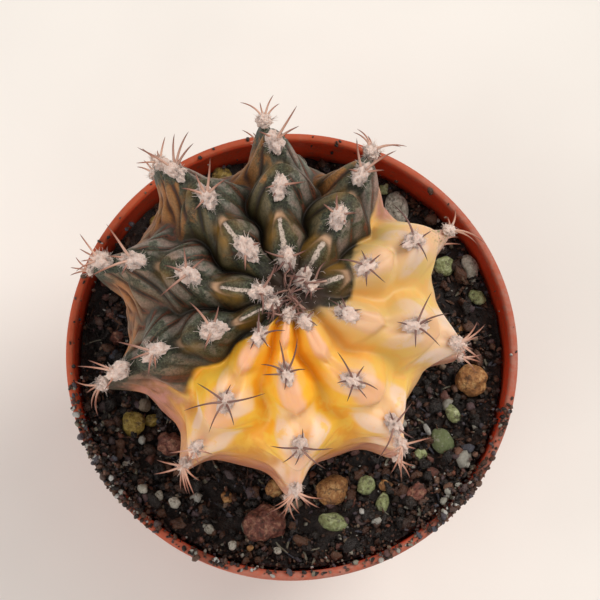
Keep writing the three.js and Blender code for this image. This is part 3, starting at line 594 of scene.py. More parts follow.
def skin_look():
    look = Look("cactus_skin")
    blend, span, times, plus, sway = look.blend, look.span, look.times, look.plus, look.sway
    names = ("green", "crest", "side", "wave", "theta", "ripe", "swell", "felt")
    green, crest, side, wave, theta, ripe, swell, felt = (look.measure(name) for name in names)
    broad = look.noise(5.0, 3.0)
    mottle = look.noise(1.6, 4.0, 0.6)
    patches = look.noise(3.0, 4.0, 0.6, 0.5)
    grain = look.noise(0.3, 3.0, 0.75)
    specks = look.cells(0.34)

    # Yellow half: orange to lemon furrows, pinkish cream chins and fold tops, pink along the outline. The
    # paler pinkish tops of the crests and chins are partly the skin's own colour and partly painted
    # highlight
    height = plus(crest, sway(mottle, 0.26), sway(swell, 0.14, 0.7))
    deep = blend(ripe, (0.72, 0.42, 0.13), (0.86, 0.36, 0.012))
    flank = blend(ripe, (0.68, 0.45, 0.18), (0.86, 0.45, 0.035))
    inner = blend(span(height, 0.1, 0.45), deep, flank)
    # Crest and chin tops turn paler pink: partly the skin's own colour, partly painted highlight
    inner = blend(span(height, 0.8, 1.06), inner, blend(ripe, (0.65, 0.4, 0.23), (0.78, 0.42, 0.24)))
    deep = blend(ripe, (0.54, 0.32, 0.15), (0.56, 0.23, 0.03))
    flank = blend(ripe, (0.58, 0.38, 0.23), (0.78, 0.45, 0.14))
    outer = blend(span(height, 0.05, 0.45), deep, flank)
    outer = blend(span(height, 0.6, 0.9), outer, blend(ripe, (0.58, 0.37, 0.27), (0.8, 0.53, 0.38)))
    lemon = times(span(theta, 18.0, 36.0), span(theta, 50.0, 74.0, 1.0, 0.0))
    lemon = times(lemon, span(patches, 0.42, 0.56, 0.15, 0.75), span(height, 0.6, 0.95, 1.0, 0.1))
    shelf = times(span(swell, 0.15, 0.5, 1.0, 0.0), span(theta, 25.0, 40.0), span(height, 0.3, 0.6), 0.6)
    # Paler cream on the fold tops: painted highlight
    cream = times(span(wave, 0.4, 0.8), span(mottle, 0.3, 0.48, 0.35, 1.0))
    cream = times(cream, span(theta, 22.0, 45.0, 0.1, 1.0), span(crest, 0.08, 0.4, 0.15, 1.0))
    # Darker, deeper orange in the creases between the folds: painted shade
    painted_groove_shade = times(span(wave, -0.95, -0.35, 0.45, 0.0), span(theta, 25.0, 50.0))
    outline = times(span(theta, 66.0, 84.0), span(mottle, 0.3, 0.65, 0.5, 0.95))
    web = times(span(theta, 74.0, 92.0, 0.0, 0.55), span(crest, 0.2, 0.7, 1.0, 0.0))
    low_side = span(plus(theta, sway(broad, 60.0)), 92.0, 118.0)
    yellow = look.coats(
        blend(span(theta, 46.0, 68.0), inner, outer),
        (lemon, blend(ripe, (0.66, 0.47, 0.14), (0.84, 0.54, 0.07))),
        (shelf, (0.78, 0.54, 0.34)),
        (cream, blend(ripe, (0.68, 0.51, 0.4), (0.8, 0.57, 0.4))),
        (painted_groove_shade, blend(ripe, (0.56, 0.32, 0.12), (0.7, 0.3, 0.03))),
        (outline, (0.42, 0.165, 0.115)),
        (web, (0.3, 0.1, 0.05)),
        (low_side, blend(span(mottle, 0.35, 0.65), (0.6, 0.33, 0.16), (0.7, 0.4, 0.18))),
        (span(theta, 114.0, 135.0), (0.4, 0.2, 0.08)),
        (times(look.measure("echo"), span(look.noise(0.35, 2.0), 0.52, 0.64)), (0.16, 0.17, 0.05)),
    )

    # Green half: dark granular crests; flanks lilac and teal on one side, tan and olive on the other
    dark = blend(span(grain, 0.4, 0.64), (0.008, 0.013, 0.007), (0.06, 0.085, 0.055))
    dark = blend(span(specks, 0.0, 0.2, 0.7, 0.0), dark, (0.2, 0.24, 0.2))
    bulge = span(plus(wave, sway(mottle, 0.7)), -0.75, 0.8)
    # The folds fade on the lower flanks
    bulge = plus(times(bulge, span(theta, 84.0, 102.0, 1.0, 0.35)), span(theta, 84.0, 102.0, 0.0, 0.38))
    # The cool, tan and olive ramps run dark in the fold creases and light on the fold tops: partly the
    # skin's own cross bands, partly painted shade and highlight. The lilac patches on the fold tops are
    # partly painted highlight too
    cool = look.ramp(
        bulge, (0.0, (0.012, 0.007, 0.004)), (0.35, (0.03, 0.03, 0.02)),
        (0.65, (0.062, 0.074, 0.068)), (1.0, (0.145, 0.185, 0.18)),
    )
    lilac = times(span(patches, 0.42, 0.62, 0.0, 0.65), span(bulge, 0.5, 0.95))
    cool = blend(lilac, cool, (0.27, 0.21, 0.22))
    rosy = times(span(bulge, 0.15, 0.32), span(bulge, 0.36, 0.55, 1.0, 0.0), 0.7)
    cool = blend(rosy, cool, (0.17, 0.055, 0.035))
    tan = look.ramp(
        bulge, (0.0, (0.03, 0.01, 0.002)), (0.35, (0.11, 0.042, 0.008)),
        (0.7, (0.22, 0.1, 0.022)), (1.0, (0.27, 0.15, 0.052)),
    )
    olive = look.ramp(
        bulge, (0.0, (0.01, 0.006, 0.002)), (0.4, (0.04, 0.03, 0.007)),
        (0.7, (0.055, 0.055, 0.022)), (1.0, (0.12, 0.115, 0.07)),
    )
    tan_share = plus(span(theta, 24.0, 60.0, -0.14, 0.26), broad)
    warm = blend(span(tan_share, 0.5, 0.6), olive, tan)
    flank = blend(look.measure("warm_side"), cool, warm)
    # Tan near the outline: partly the skin's own colour, partly painted orange bounce light
    web = times(span(theta, 56.0, 74.0), span(crest, 0.2, 0.65, 1.0, 0.0), span(broad, 0.4, 0.54, 0.35, 1.0))
    flank = blend(web, flank, blend(span(bulge, 0.2, 0.8), (0.12, 0.045, 0.014), (0.33, 0.16, 0.06)))
    grit = times(span(grain, 0.42, 0.58, 0.45, 0.0), span(theta, 40.0, 70.0, 1.0, 0.4))
    # Near-black painted shade in the furrows between the ribs and in the notch past each knob
    valley = times(span(crest, 0.0, 0.36, 0.94, 0.0), span(theta, 26.0, 56.0, 1.0, 0.0))
    painted_notch_shade = times(span(swell, 0.1, 0.55, 0.5, 0.0), span(theta, 50.0, 62.0, 1.0, 0.0))
    ragged = plus(felt, sway(look.noise(0.5, 3.0, 0.7), 1.3))
    felted = times(span(ragged, 0.35, 0.95), span(grain, 0.36, 0.54, 0.3, 0.95))
    skin = look.coats(
        blend(span(plus(side, sway(mottle, 2.2)), 1.15, 1.5), dark, flank),
        (times(span(patches, 0.42, 0.5, 0.75, 0.0), span(crest, 0.25, 0.5)), dark),
        (grit, (0.014, 0.015, 0.007)),
        (times(span(specks, 0.0, 0.18, 0.5, 0.0), span(bulge, 0.45, 0.9)), (0.3, 0.32, 0.3)),
        (look.math("MAXIMUM", valley, painted_notch_shade), (0.008, 0.006, 0.002)),
        (times(look.measure("blotch"), span(mottle, 0.3, 0.6, 0.5, 1.0)), (0.17, 0.11, 0.02)),
        (span(theta, 100.0, 125.0), (0.09, 0.06, 0.03)),
        # Pale knobs: partly their own tan, partly painted highlight on their lit tops
        (times(look.measure("knob"), span(mottle, 0.25, 0.5, 0.7, 1.0)), (0.5, 0.37, 0.27)),
        (felted, (0.5, 0.5, 0.52)),
    )
    skin = blend(1.0, skin, (1.06, 0.86, 0.7), "MULTIPLY")

    # Reddish border, dark crown centre and corky neck
    margin = times(look.measure("border"), span(mottle, 0.35, 0.6, 0.8, 1.0))
    colour = look.coats(
        blend(green, yellow, skin),
        (margin, blend(span(mottle, 0.35, 0.65), (0.24, 0.09, 0.055), (0.42, 0.18, 0.14))),
        (span(theta, 4.0, 11.0, 0.9, 0.0), (0.035, 0.016, 0.009)),
        (span(theta, 135.0, 146.0), (0.13, 0.08, 0.045)),
    )
    rough = plus(span(mottle, 0.2, 0.8, 0.34, 0.5), times(green, 0.14))
    rough = look.math("ADD", rough, times(felt, 0.35), clamp=True)
    grained = look.bump(grain, 0.08, span(green, 0.0, 1.0, 0.1, 0.9))
    look.set(Base_Color=colour, Roughness=rough, Specular_IOR_Level=0.35)
    look.set(Normal=look.bump(mottle, 0.12, 0.4, grained))
    look.translucent(span(green, 0.0, 1.0, 0.5, 0.02), (1.0, 0.6, 0.3), 1.6)
    return look


def skin_measures(points, m):
    """Where each tone of the skin lies on the grid of the body, mostly as a share from 0 to 1."""
    u, theta, side, count = (m[name] for name in ("u", "theta", "side", "count"))
    wobble = (noise3(points, 1.6, 5) - 0.5) * 0.16 * smooth(10, 20, theta)
    right = np.interp(theta, *zip(*RIGHT_BORDER)) + wobble
    left = np.interp(theta, *zip(*LEFT_BORDER)) + wobble
    from_start = (u + 2.0) % COUNT - 2.0
    blur = 0.05 + 0.05 * smooth(50, 80, theta)
    steepness = np.interp(theta + 0.5, *zip(*RIGHT_BORDER)) - np.interp(theta - 0.5, *zip(*RIGHT_BORDER))
    right_blur = np.hypot(blur, 0.9 * steepness)
    green = smooth(-1, 1, (from_start - right) / right_blur) * smooth(-1, 1, (left - from_start) / blur)
    border = hill(from_start - right + 0.13, 0.2) * smooth(38, 48, theta)
    border = border + hill(from_start - left - 0.12, 0.22) * smooth(48, 64, theta)

    # Share of the way to the next areole, and whether it starts from a rib's first or second one
    local = count - np.floor(count)
    first = (count >= 0) & (count < 1)
    second = (count >= 1) & (count < 2)
    stripe = 0.31 + 0.24 * (noise3(points, 0.6, 6) - 0.5) + 0.12 * hill(local - 0.6, 0.07)
    arch = local + 0.07 * (side / 0.8) ** 4
    anticlockwise = u - np.floor(u) < 0.5
    # The two ribs at the left are mostly teal on both sides
    warm_side = mix(0.5, anticlockwise * 1.0, smooth(0.1, 0.5, side))
    warm_side = warm_side * (1 - 0.65 * between(u, 3.9, 4.1, 5.6, 5.9))
    blotch = hill(side - 1.3, 0.8) * between(local, 0.12, 0.3, 0.55, 0.72)
    return {
        "green": green,
        "border": border,
        "felt": hill(side, stripe, 4) * between(local, 0.02, 0.1, 0.5, 0.58) * first,
        "knob": hill(side, 0.95, 4) * hill(arch - 0.6, 0.065) * (0.85 * first + 0.5 * second),
        "blotch": blotch * (first + 0.6 * second) * np.where(anticlockwise, 1.0, 0.35),
        "echo": hill(np.minimum(u, COUNT - u), 0.16) * between(theta, 48, 58, 74, 82),
        "ripe": between(u, 4.0, 5.0, 7.3, 9.3),
        "warm_side": warm_side, "side": side, "theta": theta,
        "crest": m["crest"], "wave": m["wave"], "swell": m["swell"],
    }


def build_body():
    rows, columns = BODY_GRID
    theta = np.linspace(0.35, 149.0, rows)
    u = np.arange(columns) / columns * COUNT
    points, m = body_point(u[None, :], theta[:, None])
    angles = np.arctan2(points[-1, :, 1] - RING_Y, points[-1, :, 0] - RING_X)
    neck_top = RING_HEIGHT - SKIRT
    neck = [(NECK_RADIUS - 0.5, neck_top - 0.6), (NECK_RADIUS - 1.2, neck_top - NECK_DEPTH)]
    grid = np.concatenate([points, circles(neck, angles, RING_X, RING_Y)])
    outward = unit(grid - np.array([RING_X, RING_Y, RING_HEIGHT - 4.0]))
    grid = grid + outward * (0.16 * (noise3(grid, 2.2, 3) - 0.5))[..., None]
    body = add_mesh("cactus_body", grid.reshape(-1, 3), ring_faces(len(grid), columns)[:, ::-1])
    for name, values in skin_measures(points, m).items():
        on_neck = np.repeat(values[-1:], len(neck), 0)
        if name == "theta":
            on_neck = on_neck * 0 + NECK_ANGLE
        add_measure(body, name, np.concatenate([values, on_neck]))
    return body


# Wool and spines

def areole_frame(k, theta):
    """Place on a rib, and the ways down it, across it and out of the skin."""
    down = unit(body_point(k, theta + 3)[0] - body_point(k, max(0.5, theta - 3))[0])
    across = unit(body_point(k + 0.1, theta)[0] - body_point(k - 0.1, theta)[0])
    return body_point(k, theta)[0], down, across, unit(np.cross(down, across))


def all_areoles():
    """Each areole: if its rib is green, if it is on the outline, its angle, size, spines and frame."""
    for k, rib in enumerate(RIBS):
        for theta, size, spines in rib[3]:
            yield k in GREEN_RIBS, theta > OUTLINE_ANGLE, theta, size, spines, areole_frame(k, theta)


def spine_direction(normal, degrees, index):
    a = math.radians(degrees)
    direction = np.array([math.cos(a), math.sin(a), 0.0])
    steep = float(smooth(0.25, 0.8, normal[2]))
    against = float(direction @ normal)
    direction = direction - normal * against * mix(0.2 if against > 0 else 1.2, 1, steep)
    direction[2] += (1 - steep) * 0.45 * math.cos(2.4 * index + degrees)
    return unit(unit(direction) + normal * SPINE_LIFT)


def spine_look():
    look = Look("spine")
    streak = look.noise(0.3, 2.0)
    shade = look.plus(look.measure("along"), look.sway(streak, 0.3))
    dark = look.ramp(
        shade, (0.0, (0.36, 0.22, 0.17)), (0.2, (0.2, 0.095, 0.075)),
        (0.65, (0.12, 0.05, 0.042)), (1.0, (0.04, 0.014, 0.012)),
    )
    light = look.ramp(
        shade, (0.0, (0.68, 0.47, 0.38)), (0.35, (0.58, 0.34, 0.25)),
        (0.7, (0.34, 0.14, 0.09)), (1.0, (0.11, 0.035, 0.022)),
    )
    look.set(Base_Color=look.blend(look.measure("pale"), dark, light), Roughness=0.45)
    look.set(Normal=look.bump(streak, 0.03, 0.5))
    look.translucent(0.1, (1.0, 0.5, 0.3), 0.2)
    return look


def build_spines():
    pile = Pile()
    steps = np.linspace(0.0, 1.0, 11)

    def grow(path, radii, pale):
        vertices, faces = tube(path, radii, SPINE_SIDES)
        pile.add(vertices, faces, along=np.repeat(steps, SPINE_SIDES), pale=pale)

    for green, outer, theta, _, spines, (point, _, _, normal) in all_areoles():
        claw = not green and not outer
        for index, (degrees, length) in enumerate(spines):
            direction = spine_direction(normal, degrees, index)
            side = unit(np.cross(direction, normal))
            over = np.cross(side, direction)
            bow = SPINE_ARCH * (1.0 if length > 3.3 else 0.5) * 4.0 * steps * (1 - steps)
            # Claws on the yellow ribs curl over at their ends
            curl = rng.uniform(0.1, 1.0) if claw else 0.25
            hook = (0.42 if claw else 0.12) * curl * steps ** 3
            sway = (0.3 if claw else 0.14) * rng.uniform(-1, 1) * steps ** 2.5
            path = point + normal * 0.25 + np.outer(steps * 1.02 * length, direction)
            path = path + np.outer((bow - hook) * length, over) + np.outer(sway * length, side)
            thickness = SPINE_RADIUS * (0.82 if outer else 1.0) * (0.9 if claw else 1.1)
            radii = thickness * ((1 - steps) ** 0.55 * 0.94 + 0.06) * (1 + 0.6 * hill(steps, 0.08))
            pale = 1.0 if outer else (0.65 if green else 0.0)
            if theta < CROWN_ANGLE:
                pale = 0.15
            grow(path, radii, float(np.clip(pale + rng.uniform(-0.2, 0.2), 0, 1)))
    # Young spines crossing over the crown
    for _ in range(YOUNG_SPINES):
        theta = rng.uniform(1.0, 9.0)
        point, down, across, normal = areole_frame(rng.uniform(0, COUNT), theta)
        angle = rng.uniform(0, 2 * math.pi)
        direction = unit(down * math.cos(angle) + across * math.sin(angle) + normal * rng.uniform(0.5, 1.3))
        length = rng.uniform(2.2, 3.9)
        bend = steps ** 2 * 0.35 * length * rng.uniform(-1, 1)
        path = point + normal * 0.05 + np.outer(steps * length, direction)
        path = path + np.outer(bend, np.cross(direction, normal))
        path = path - np.outer(steps ** 3 * 0.25 * length, normal)
        grow(path, 0.17 * ((1 - steps) ** 0.6 * 0.93 + 0.07), rng.uniform(0.0, 0.3))
    return pile.build("spines")


def wool_look():
    look = Look("wool")
    lump = look.noise(0.45, 5.0, 0.75)
    fine = look.noise(0.16, 3.0, 0.8)
    colour = look.ramp(
        look.plus(look.times(lump, 0.6), look.times(fine, 0.4)), (0.34, (0.35, 0.2, 0.15)),
        (0.44, (0.57, 0.41, 0.35)), (0.54, (0.66, 0.54, 0.49)), (0.7, (0.8, 0.7, 0.66)),
    )
    colour = look.blend(look.times(look.measure("warm"), 0.7), colour, (0.9, 0.68, 0.58))
    look.set(Base_Color=colour, Roughness=0.9)
    look.set(Sheen_Weight=0.4, Sheen_Roughness=0.5, Specular_IOR_Level=0.15)
    look.set(Normal=look.bump(fine, 0.1, 0.8, look.bump(lump, 0.3, 0.8)))
    look.translucent(0.3, (1.0, 0.75, 0.62), 0.5)
    return look


def add_hair(fibres, start, heading, length, bend, radius, warm, root=0.0):
    """One three-sided hair, which starts below the surface by its root."""
    t = np.linspace(0, 1, 4)
    path = start - heading * root + np.outer(t * (length + root), heading)
    vertices, faces = tube(path + np.outer(t * t * length, bend), radius * (1 - 0.7 * t), 3)
    fibres.add(vertices, faces, warm=warm)


def build_wool():
    pads, fibres = Pile(), Pile()
    base, faces = ball(4)
    for green, outer, _, size, _, (point, down, across, normal) in all_areoles():
        tint = 0.12 if green and not outer else 0.5
        size = size * (0.9 if green else (0.82 if outer else 1.0))
        radius = PAD_RADIUS * size
        seed = rng.uniform(0, 90)
        lumps = 0.66 + 0.56 * noise3(base + seed, 0.6, 7)
        lumps = lumps + 0.44 * (noise3(base + seed, 0.25, 8) - 0.5)
        lumps = lumps + 0.3 * (noise3(base + seed, 0.11, 9) - 0.5)
        local = base * (radius * lumps)[:, None]
        pad = point + np.outer(local[:, 0] * 1.28 - 0.12 * radius, down)
        pad = pad + np.outer(local[:, 1] * 0.84, across)
        pad = pad + np.outer(local[:, 2] * 0.7 + 0.18 * radius, normal)
        # Whiter at the end towards the crown, tinted where the spines come out
        pads.add(pad, faces, warm=tint + 0.5 * smooth(-0.2, 0.9, base[:, 0]))
        # Tufts of short wool standing out of the pad
        for _ in range(int(20 * size)):
            way = rng.normal(size=3)
            way[2] = abs(way[2]) * 0.8
            way = unit(way)
            centre = point + down * (way[0] * 1.2 - 0.12) * radius * 0.86 + across * way[1] * radius * 0.72
            centre = centre + normal * (way[2] * radius * 0.62 + 0.12)
            lean = down * way[0] + across * way[1] + normal * (way[2] + 0.1) + 0.6 * rng.normal(size=3)
            lean = unit(lean)
            reach = rng.uniform(0.3, 0.72) * min(size, 1.1)
            shade = np.clip(tint + 0.5 * smooth(-0.2, 0.9, way[0]) + rng.uniform(-0.3, 0.3), 0, 1)
            for _ in range(HAIRS_IN_TUFT):
                add_hair(
                    fibres, centre + rng.normal(size=3) * 0.12, lean + 0.34 * rng.normal(size=3),
                    reach * rng.uniform(0.5, 1.2), rng.normal(size=3) * 0.35, 0.06, shade, root=0.3,
                )
    # Felt over the crown
    for _ in range(CROWN_HAIRS):
        theta = rng.uniform(0.5, 10.0)
        point, _, _, normal = areole_frame(rng.uniform(0, COUNT), theta)
        add_hair(
            fibres, point, unit(rng.normal(size=3) + normal * 0.4), rng.uniform(0.3, 1.0),
            rng.normal(size=3) * 0.5, 0.045, rng.uniform(0.0, 0.7),
        )
    return pads.build("wool_pads"), fibres.build("wool_fibres")


# Soil and stones

def soil_look():
    look = Look("soil")
    clod = look.noise(2.6, 6.0, 0.72)
    fine = look.noise(0.5, 4.0, 0.75)
    colour = look.ramp(
        clod, (0.25, (0.004, 0.002, 0.002)), (0.5, (0.012, 0.006, 0.005)),
        (0.66, (0.04, 0.018, 0.012)), (0.8, (0.09, 0.045, 0.03)),
    )
    colour = look.blend(look.span(fine, 0.6, 0.7, 0.0, 0.5), colour, (0.09, 0.07, 0.065))
    look.set(Base_Color=colour, Roughness=look.span(fine, 0.35, 0.65, 0.35, 0.9))
    look.set(Normal=look.bump(fine, 0.5, 1.0, look.bump(clod, 1.3, 1.0)))
    return look


def crumb_look():
    look = Look("soil_crumbs")
    fine = look.noise(0.3, 4.0, 0.75)
    colour = look.ramp(
        look.measure("tone"), (0.0, (0.004, 0.002, 0.002)), (0.4, (0.01, 0.006, 0.004)),
        (0.58, (0.06, 0.02, 0.008)), (0.7, (0.1, 0.045, 0.024)), (0.78, (0.05, 0.055, 0.075)),
        (0.86, (0.16, 0.05, 0.025)), (0.92, (0.2, 0.19, 0.14)), (1.0, (0.5, 0.5, 0.48)),
    )
    # Pale flecks from fine noise: painted glints on the crumbs
    colour = look.blend(look.span(fine, 0.56, 0.66, 0.0, 0.6), colour, (0.14, 0.11, 0.1))
    look.set(Base_Color=colour, Roughness=look.span(fine, 0.38, 0.62, 0.12, 0.75))
    look.set(Normal=look.bump(fine, 0.3, 1.0))
    return look


def build_soil():
    rows, columns = SOIL_GRID
    angles = turns(columns)
    radii = 30.55 * (np.arange(rows, 0, -1) / rows) ** 0.8
    top = circles([(radius, 0.0) for radius in radii], angles)
    grain = 0.5 * (noise3(top, 0.7, 11) - 0.5) + 0.35 * (noise3(top, 0.35, 12) - 0.5)
    x, y = top[..., 0], top[..., 1]
    z = soil_height(x, y) + grain
    # Kept low round the plant's neck
    clear = smooth(9.5, 14, np.hypot(x - RING_X, y - RING_Y))
    top[..., 2] = np.where(clear < 1, np.minimum(z, SOIL_LEVEL - 0.35 + 1.2 * clear), z)
    sides = circles([(20.3, FLOOR + 0.3), (21.9, FLOOR + 1.7), (29.5, 45.5), (30.45, 47.7)], angles)
    grid = np.concatenate([sides, top])
    bed = add_mesh("soil_bed", grid.reshape(-1, 3), ring_faces(len(grid), columns))
    close_ends(bed, range(columns - 1, -1, -1))
    return bed


def spin():
    """Matrix of a random turn in space."""
    w, a, b, c = unit(rng.normal(size=4))
    return np.array([
        [1 - 2 * (b * b + c * c), 2 * (a * b - c * w), 2 * (a * c + b * w)],
        [2 * (a * b + c * w), 1 - 2 * (a * a + c * c), 2 * (b * c - a * w)],
        [2 * (a * c - b * w), 2 * (b * c + a * w), 1 - 2 * (a * a + b * b)],
    ])


def crumb_shape(base, rough, lumps, size):
    """A ball made lumpy by noise and flattened by chance."""
    shape = base * (1 + rough * (lumps - 0.5))[:, None]
    return shape * np.array([1.0, rng.uniform(0.5, 1.0), rng.uniform(0.4, 0.9)]) * size


def strewn(outer, inner_share):
    """A random place on the soil: distance from the middle, x and y."""
    radius = outer * math.sqrt(rng.uniform(inner_share, 1.0))
    angle = rng.uniform(0, 2 * math.pi)
    return radius, radius * math.cos(angle), radius * math.sin(angle)


def scatter_crumbs(name, count, subdivisions, usual, most, spread, pile_up):
    """Crumbs strewn over the soil round a usual size, clear of the plant's neck and the stones."""
    pile = Pile()
    base, faces = ball(subdivisions)
    stones = np.array([[p[0], p[1], max(p[3][:2])] for p in PEBBLES])
    placed = 0
    while placed < count:
        radius, x, y = strewn(WALL_INSIDE - 0.05, 0.05)
        if math.hypot(x - RING_X, y - RING_Y) < 11.0:
            continue
        if np.any(np.hypot(stones[:, 0] - x, stones[:, 1] - y) < stones[:, 2] * 0.8):
            continue
        size = float(np.clip(rng.lognormal(math.log(usual), spread), usual * 0.5, most))
        if radius + size > WALL_INSIDE:
            continue
        # Clods gather in heaps, with dark hollows left between them
        heap = noise(x / 2.6 + 20, y / 2.6 + 20, 19)
        if rng.uniform() > smooth(0.2, 0.55, heap) + 0.12:
            continue
        shape = crumb_shape(base, 1.1, noise3(base + placed * 0.37, 0.7, 13), size)
        z = float(soil_height(x, y)) + size * rng.uniform(0.1, 0.6) + rng.uniform(0, pile_up) * heap
        tone = min(1.0, rng.beta(1.25, 1.35))
        pile.add(shape @ spin().T + np.array([x, y, z]), faces, tone=tone)
        placed += 1
    return pile.build(name)


def build_bark():
    """Thin bark shreds and root ends lying across the soil."""
    pile = Pile()
    t = np.linspace(0, 1, 5)
    for _ in range(BARK_TRIES):
        _, x, y = strewn(30.0, 0.12)
        if math.hypot(x - RING_X, y - RING_Y) < 12.0:
            continue
        way = rng.uniform(0, 2 * math.pi)
        length = rng.uniform(0.8, 3.0)
        heading = np.array([math.cos(way), math.sin(way), rng.uniform(-0.2, 0.35)])
        bend = rng.normal(size=3) * 0.25
        start = np.array([x, y, float(soil_height(x, y)) + 0.25]) - heading * length / 2
        path = start + np.outer(t * length, heading) + np.outer(t * (1 - t) * length, bend)
        if np.max(np.hypot(path[:, 0], path[:, 1])) > 30.5:
            continue
        radii = rng.uniform(0.07, 0.24) * np.array([0.5, 1.0, 0.85, 1.0, 0.35])
        vertices, faces = tube(path, radii, 5)
        tone = rng.choice([0.3, 0.55, 0.7, 0.78, 0.92], p=[0.22, 0.2, 0.22, 0.14, 0.22])
        pile.add(vertices, faces, tone=tone)
    return pile.build("soil_bark", False)


# Soil lying over the rim: direction, spread, height and share of the crumbs
SPILLS = [
    (-147.0, 10.0, 1.0, 0.5), (-112.0, 4.0, 0.4, 0.05), (-41.0, 8.0, 0.8, 0.26), (-18.0, 3.0, 0.3, 0.03),
    (-67.0, 3.0, 0.3, 0.03), (-95.0, 30.0, 0.0, 0.08), (120.0, 90.0, 0.0, 0.05),
]


def spill_height(degrees):
    """How high the crumbs lie on the rim in a direction, from 0 to about 1."""
    total = 0.0
    for middle, wide, high, _ in SPILLS:
        total = total + high * hill((degrees - middle + 180) % 360 - 180, 1.3 * wide)
    return total


def build_spill():
    """Crumbs heaped on the rim and against it where the soil stands high."""
    pile = Pile()
    base, faces = ball(2)
    shares = [spill[3] for spill in SPILLS]
    for index in range(RIM_CRUMBS):
        centre, width, _, _ = SPILLS[rng.choice(len(SPILLS), p=shares)]
        degrees = centre + rng.normal() * width
        way = np.array([math.cos(math.radians(degrees)), math.sin(math.radians(degrees))])
        heap = float(spill_height(degrees))
        size = float(np.clip(rng.lognormal(math.log(0.24), 0.45), 0.08, 0.62))
        where = rng.uniform()
        if where < 0.4:
            radius = rng.uniform(31.2, 32.3 + 0.4 * heap)
            z = POT_HEIGHT + size * 0.3 + heap * rng.uniform(0, 0.35)
        elif where < 0.75:
            radius = rng.uniform(29.6, 31.3)
            z = POT_HEIGHT - 0.3 - (1.0 - heap) * rng.uniform(0.5, 3.0) + rng.uniform(-0.8, 0.4) * heap
        else:
            radius = rng.uniform(27.5, 30.6)
            z = float(soil_height(*(radius * way))) + rng.uniform(0, 0.9) * heap
        shape = crumb_shape(base, 0.9, noise3(base + index * 0.61, 0.8, 14), size)
        place = np.array([*(radius * way), z])
        pile.add(shape @ spin().T + place, faces, tone=min(1.0, rng.beta(1.7, 1.2)))
    return pile.build("rim_crumbs")


# Dark, middle and light tone of each sort of stone
STONE_COLOURS = {
    "green": [(0.13, 0.13, 0.05), (0.24, 0.28, 0.12), (0.46, 0.5, 0.3)],
    "pale": [(0.2, 0.19, 0.15), (0.4, 0.38, 0.32), (0.66, 0.62, 0.55)],
    "brown": [(0.13, 0.05, 0.015), (0.34, 0.15, 0.045), (0.58, 0.36, 0.15)],
    "red": [(0.035, 0.012, 0.008), (0.16, 0.046, 0.03), (0.36, 0.19, 0.12)],
    "olive": [(0.12, 0.07, 0.008), (0.25, 0.17, 0.025), (0.44, 0.33, 0.12)],
}


def stone_look(sort):
    look = Look("pebble_" + sort)
    low, middle, high = STONE_COLOURS[sort]
    patch = look.noise(1.1, 6.0, 0.68, 0.6)
    fine = look.noise(0.3, 4.0, 0.75)
    pits = look.cells(0.5)
    colour = look.ramp(patch, (0.32, low), (0.5, middle), (0.66, high))
    colour = look.blend(look.span(fine, 0.5, 0.68, 0.0, 0.65), colour, low)
    colour = look.blend(look.span(pits, 0.0, 0.16, 0.7, 0.0), colour, (0.02, 0.012, 0.008))
    dirt = look.span(look.noise(0.8, 5.0, 0.75), 0.52, 0.6)
    colour = look.blend(look.times(dirt, 0.65), colour, (0.03, 0.016, 0.01))
    if sort == "pale":
        # The pale stone among the green ones is grown over with algae
        algae = look.times(
            look.span(look.axis("Y"), -11.0, -9.0, 1.0, 0.0), look.span(look.axis("X"), 18.0, 19.0),
            look.span(patch, 0.38, 0.5, 0.35, 0.95),
        )
        colour = look.blend(algae, colour, (0.1, 0.13, 0.045))
    look.set(Base_Color=colour, Roughness=look.span(fine, 0.3, 0.7, 0.5, 0.85))
    look.set(Normal=look.bump(pits, 0.16, 0.7, look.bump(fine, 0.2, 0.9)))
    return look


def set_down(shape, angle, x, y, z):
    """Turn a shape about the upright and move it to a place."""
    cos, sin = math.cos(angle), math.sin(angle)
    across, deep, up = shape.T
    return np.stack([x + across * cos - deep * sin, y + across * sin + deep * cos, z + up], -1)


def build_stone(index, measures, sort):
    x, y, up, half, turn = measures
    base, faces = ball(4)
    coarse, fine = (0.42, 0.16) if sort == "red" else (0.17, 0.07)
    wide = noise(base[:, 0] * 1.6 + index * 7 + 20, base[:, 1] * 1.6 + base[:, 2] * 1.3 + 20, 3)
    dent = 1 - 0.16 * wide + coarse * (noise3(base + index, 0.42, 15) - 0.5)
    dent = dent + fine * (noise3(base + index, 0.16, 16) - 0.5)
    points = set_down(base * half * dent[:, None], math.radians(turn), x, y, float(soil_height(x, y)) + up)
    return add_mesh("stone_%02d" % (index + 1), points, faces)


# Small stones: centre, size, sort, and how far some are raised
SMALL_STONES = [
    (13.4, -18.6, 1.0, "brown"), (-9.3, -20.6, 1.0, "brown"),
    (-20.2, -9.3, 1.1, "olive"), (0.8, 28.6, 1.7, "pale", 1.7),
    (-19.8, 20.2, 1.1, "olive"), (-10.2, 27.0, 1.6, "olive", 0.6),
    (13.8, 25.6, 0.9, "green"), (-21.2, -19.7, 0.8, "pale", 1.3),
    (-19.0, -20.5, 0.8, "pale", 1.0), (-16.7, -21.5, 0.9, "pale", 0.8),
    (-8.5, -27.5, 0.7, "pale", 0.9), (-27.3, 10.8, 0.7, "red"),
    (15.7, -5.0, 0.9, "pale"), (18.6, -14.2, 1.0, "green"),
    (8.4, -20.8, 1.0, "red"), (19.4, 17.0, 1.2, "pale"),
    (-23.6, -16.4, 0.8, "pale"), (16.4, -9.6, 0.7, "pale"),
    (-11.8, -25.2, 0.8, "pale"), (-0.4, -22.0, 0.8, "pale"),
    (20.3, -17.0, 0.9, "red"), (24.6, 4.4, 0.8, "brown"),
    (-2.1, -28.2, 0.6, "pale", 0.9), (-6.0, -27.8, 0.5, "brown", 0.9),
]


